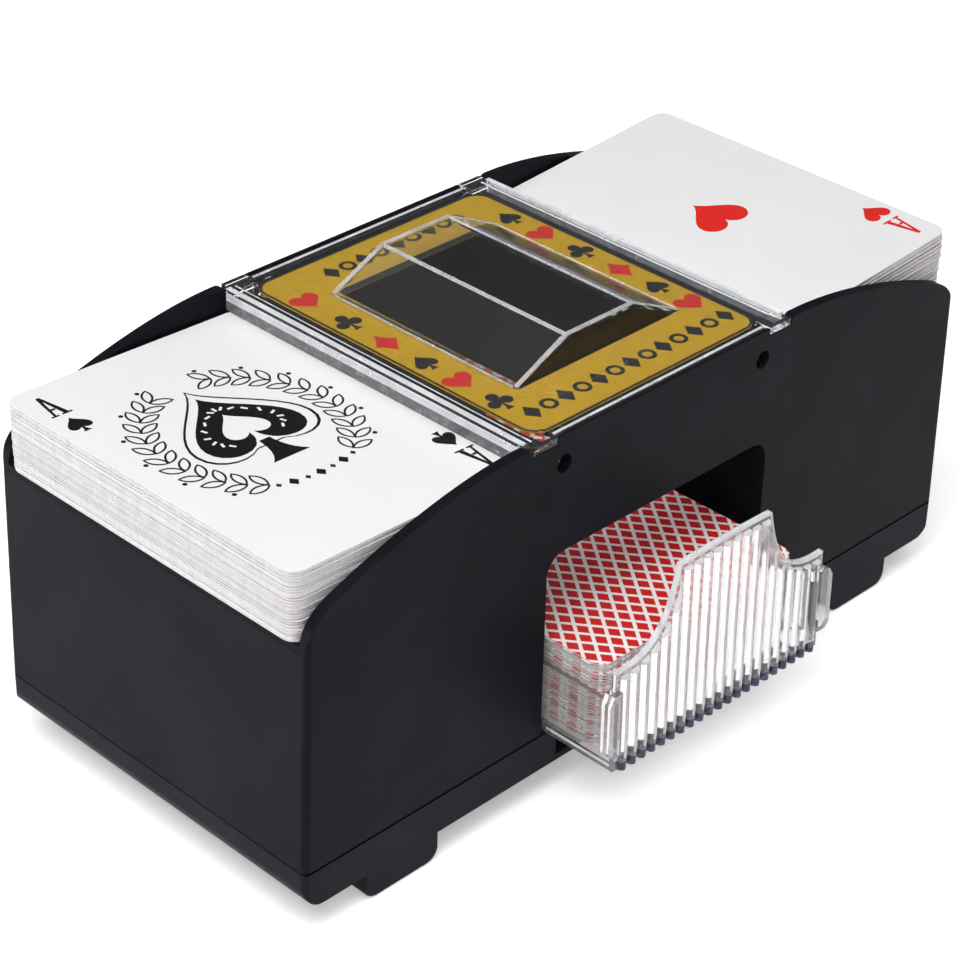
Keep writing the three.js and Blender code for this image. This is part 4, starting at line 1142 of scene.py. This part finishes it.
def build_rib_foot_dark():
    """Painted dark at the ribs' lowest ends, where the tray's floor meets them and the clear plastic shows
    the dark base under it.
    """
    feet = [prism(rib_front(x, RIB_W / 2 + 0.03, 10), "z", TRAY_Z0 + 0.1, TRAY_Z1 + 0.25) for x in RIB_X]
    return clear_piece(joined(*feet), "tray_rib_feet_painted_dark", RIB_FOOT_DARK)


# ---------- build
def stand_in(obj, body, slot, *nodes):
    """Puts a piece on its body, and hides the CAD nodes that it replaces. The slot is not used."""
    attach(obj, body)
    if nodes:
        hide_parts(*nodes)


for node in frame["record"]["subparts"]:
    obj = frame["nodes"][node["node"]]
    for material_slot in obj.material_slots:
        material_slot.material = CAD_FINISH[node["material_slot"]]

stand_in(build_housing(), "case", "black", "upper_housing")
stand_in(build_base(), "case", "black_base", "base")
stand_in(build_lid(), "lid_cover", "clear", "lid")
for piece in (build_roof_highlights(), build_rim_highlights(), *build_lip_light_and_shade()):
    stand_in(piece, "lid_cover", "clear")
stand_in(build_label(), "lid_cover", "gold", "label_plate")
for mark in build_label_print():
    stand_in(mark, "lid_cover", "gold")
stand_in(build_tray(), "tray", "clear", "output_tray")
for piece in (build_tray_highlights(), build_rib_foot_dark()):
    stand_in(piece, "tray", "clear")
stand_in(card_pile("cards_left", 52, LEFT_PILE, card_floor, left_top, 3, 0.15),
         "deck_left_stack", "card", "deck_left")
stand_in(card_pile("cards_right", 52, RIGHT_PILE, card_floor, right_top, 5, 0.25),
         "deck_right_stack", "card", "deck_right")
stand_in(card_pile("cards_out", 64, OUT_PILE, lambda x: OUT_PILE[0].z + 0.02, lambda x: OUT_PILE[1].z,
                   8, 0.3, face_up=False), "deck_out_stack", "card_back", "deck_out")
for mark in build_left_print():
    stand_in(mark, "deck_left_stack", "card")
for mark in build_right_print():
    stand_in(mark, "deck_right_stack", "card")


# ---------- floor, lights, camera
def paper(name, tone, roughness, glow, low, high):
    mat = new_material(name, (tone,) * 3, roughness, Emission_Strength=glow, Emission_Color=(1, 1, 1, 1))
    vary_roughness(mat, 6, low, high)
    return mat


def build_floor():
    size = 3.0
    corners = [(-size, -size, 0), (size, -size, 0), (size, size, 0), (-size, size, 0)]
    bm = bmesh.new()
    bm.faces.new([bm.verts.new(corner) for corner in corners])
    floor = linked("floor", bm)
    floor.data.materials.append(paper("floor_paper", 0.95, 0.75, 0.36, 0.66, 0.76))


def build_backdrop():
    """A pale wall all round, far off, which only the camera sees."""
    rings = [[(x, y, z) for x, y in ring_of(0, 0, 2.8, 96)] for z in (-0.01, 3.0)]
    wall = linked("backdrop", skin(rings, closed_ends=False))
    wall.data.materials.append(paper("backdrop_paper", 0.3, 0.9, 0.9, 0.8, 0.95))
    wall.visible_diffuse = wall.visible_glossy = wall.visible_transmission = wall.visible_shadow = False


def area_light(name, place, target, size, power):
    light = bpy.data.lights.new(name, "AREA")
    light.shape = "RECTANGLE"
    light.size, light.size_y = size
    light.energy = power
    obj = in_scene(name, light)
    obj.location = place
    obj.visible_camera = False
    direction = Vector(target) - Vector(place)
    obj.rotation_euler = direction.to_track_quat("-Z", "Y").to_euler()


def build_lights():
    """Two large soft lights, a low glow on the left end, and a sky that is pale only overhead."""
    centre = (0, 0, 0.04)
    area_light("key_left", (-0.36, -0.12, 0.66), centre, (0.45, 0.45), 3.1)
    area_light("overhead", (-0.14, -0.62, 1.35), centre, (1.5, 1.5), 7.4)
    area_light("end_glow", (-0.42, 0.16, 0.09), (-0.1, 0, 0.03), (0.3, 0.12), 0.45)
    world = bpy.data.worlds.new("studio")
    world.use_nodes = True
    split = add_node(world, "SeparateXYZ")
    wire(world, add_node(world, "TexCoord"), "Generated", split, "Vector")
    ramp = color_ramp(world, 0.55, 0.95, (0.1, 0.1, 0.105), (1, 1, 1))
    wire(world, split, "Z", ramp, "Fac")
    background = world.node_tree.nodes["Background"]
    background.inputs["Strength"].default_value = 0.85
    wire(world, ramp, "Color", background, "Color")
    bpy.context.scene.world = world


IMAGE_W, FOCAL_PX = 966, 2799.29  # the photograph's width and focal length, in pixels
SENSOR = 36
AZIMUTH, ELEVATION, ROLL = radians(-45.89), radians(32.14), radians(1.45)
CAMERA_PLACE = (-0.38746, -0.36163, 0.37886)


def build_camera():
    back = Vector((sin(AZIMUTH) * cos(ELEVATION), -cos(AZIMUTH) * cos(ELEVATION),
                   sin(ELEVATION)))
    right = Vector((0, 0, 1)).cross(back).normalized()
    up = back.cross(right)
    cam_x = cos(ROLL) * right + sin(ROLL) * up
    cam_y = -sin(ROLL) * right + cos(ROLL) * up
    camera = bpy.data.cameras.new("camera")
    camera.sensor_fit = "HORIZONTAL"
    camera.sensor_width = SENSOR
    camera.lens = SENSOR * FOCAL_PX / IMAGE_W
    camera.clip_start = 0.01
    obj = in_scene("camera", camera)
    turn = Matrix((cam_x, cam_y, back)).transposed()
    obj.matrix_world = Matrix.Translation(CAMERA_PLACE) @ turn.to_4x4()
    bpy.context.scene.camera = obj


build_floor()
build_backdrop()
build_lights()
build_camera()
bpy.context.scene.view_settings.view_transform = "Standard"
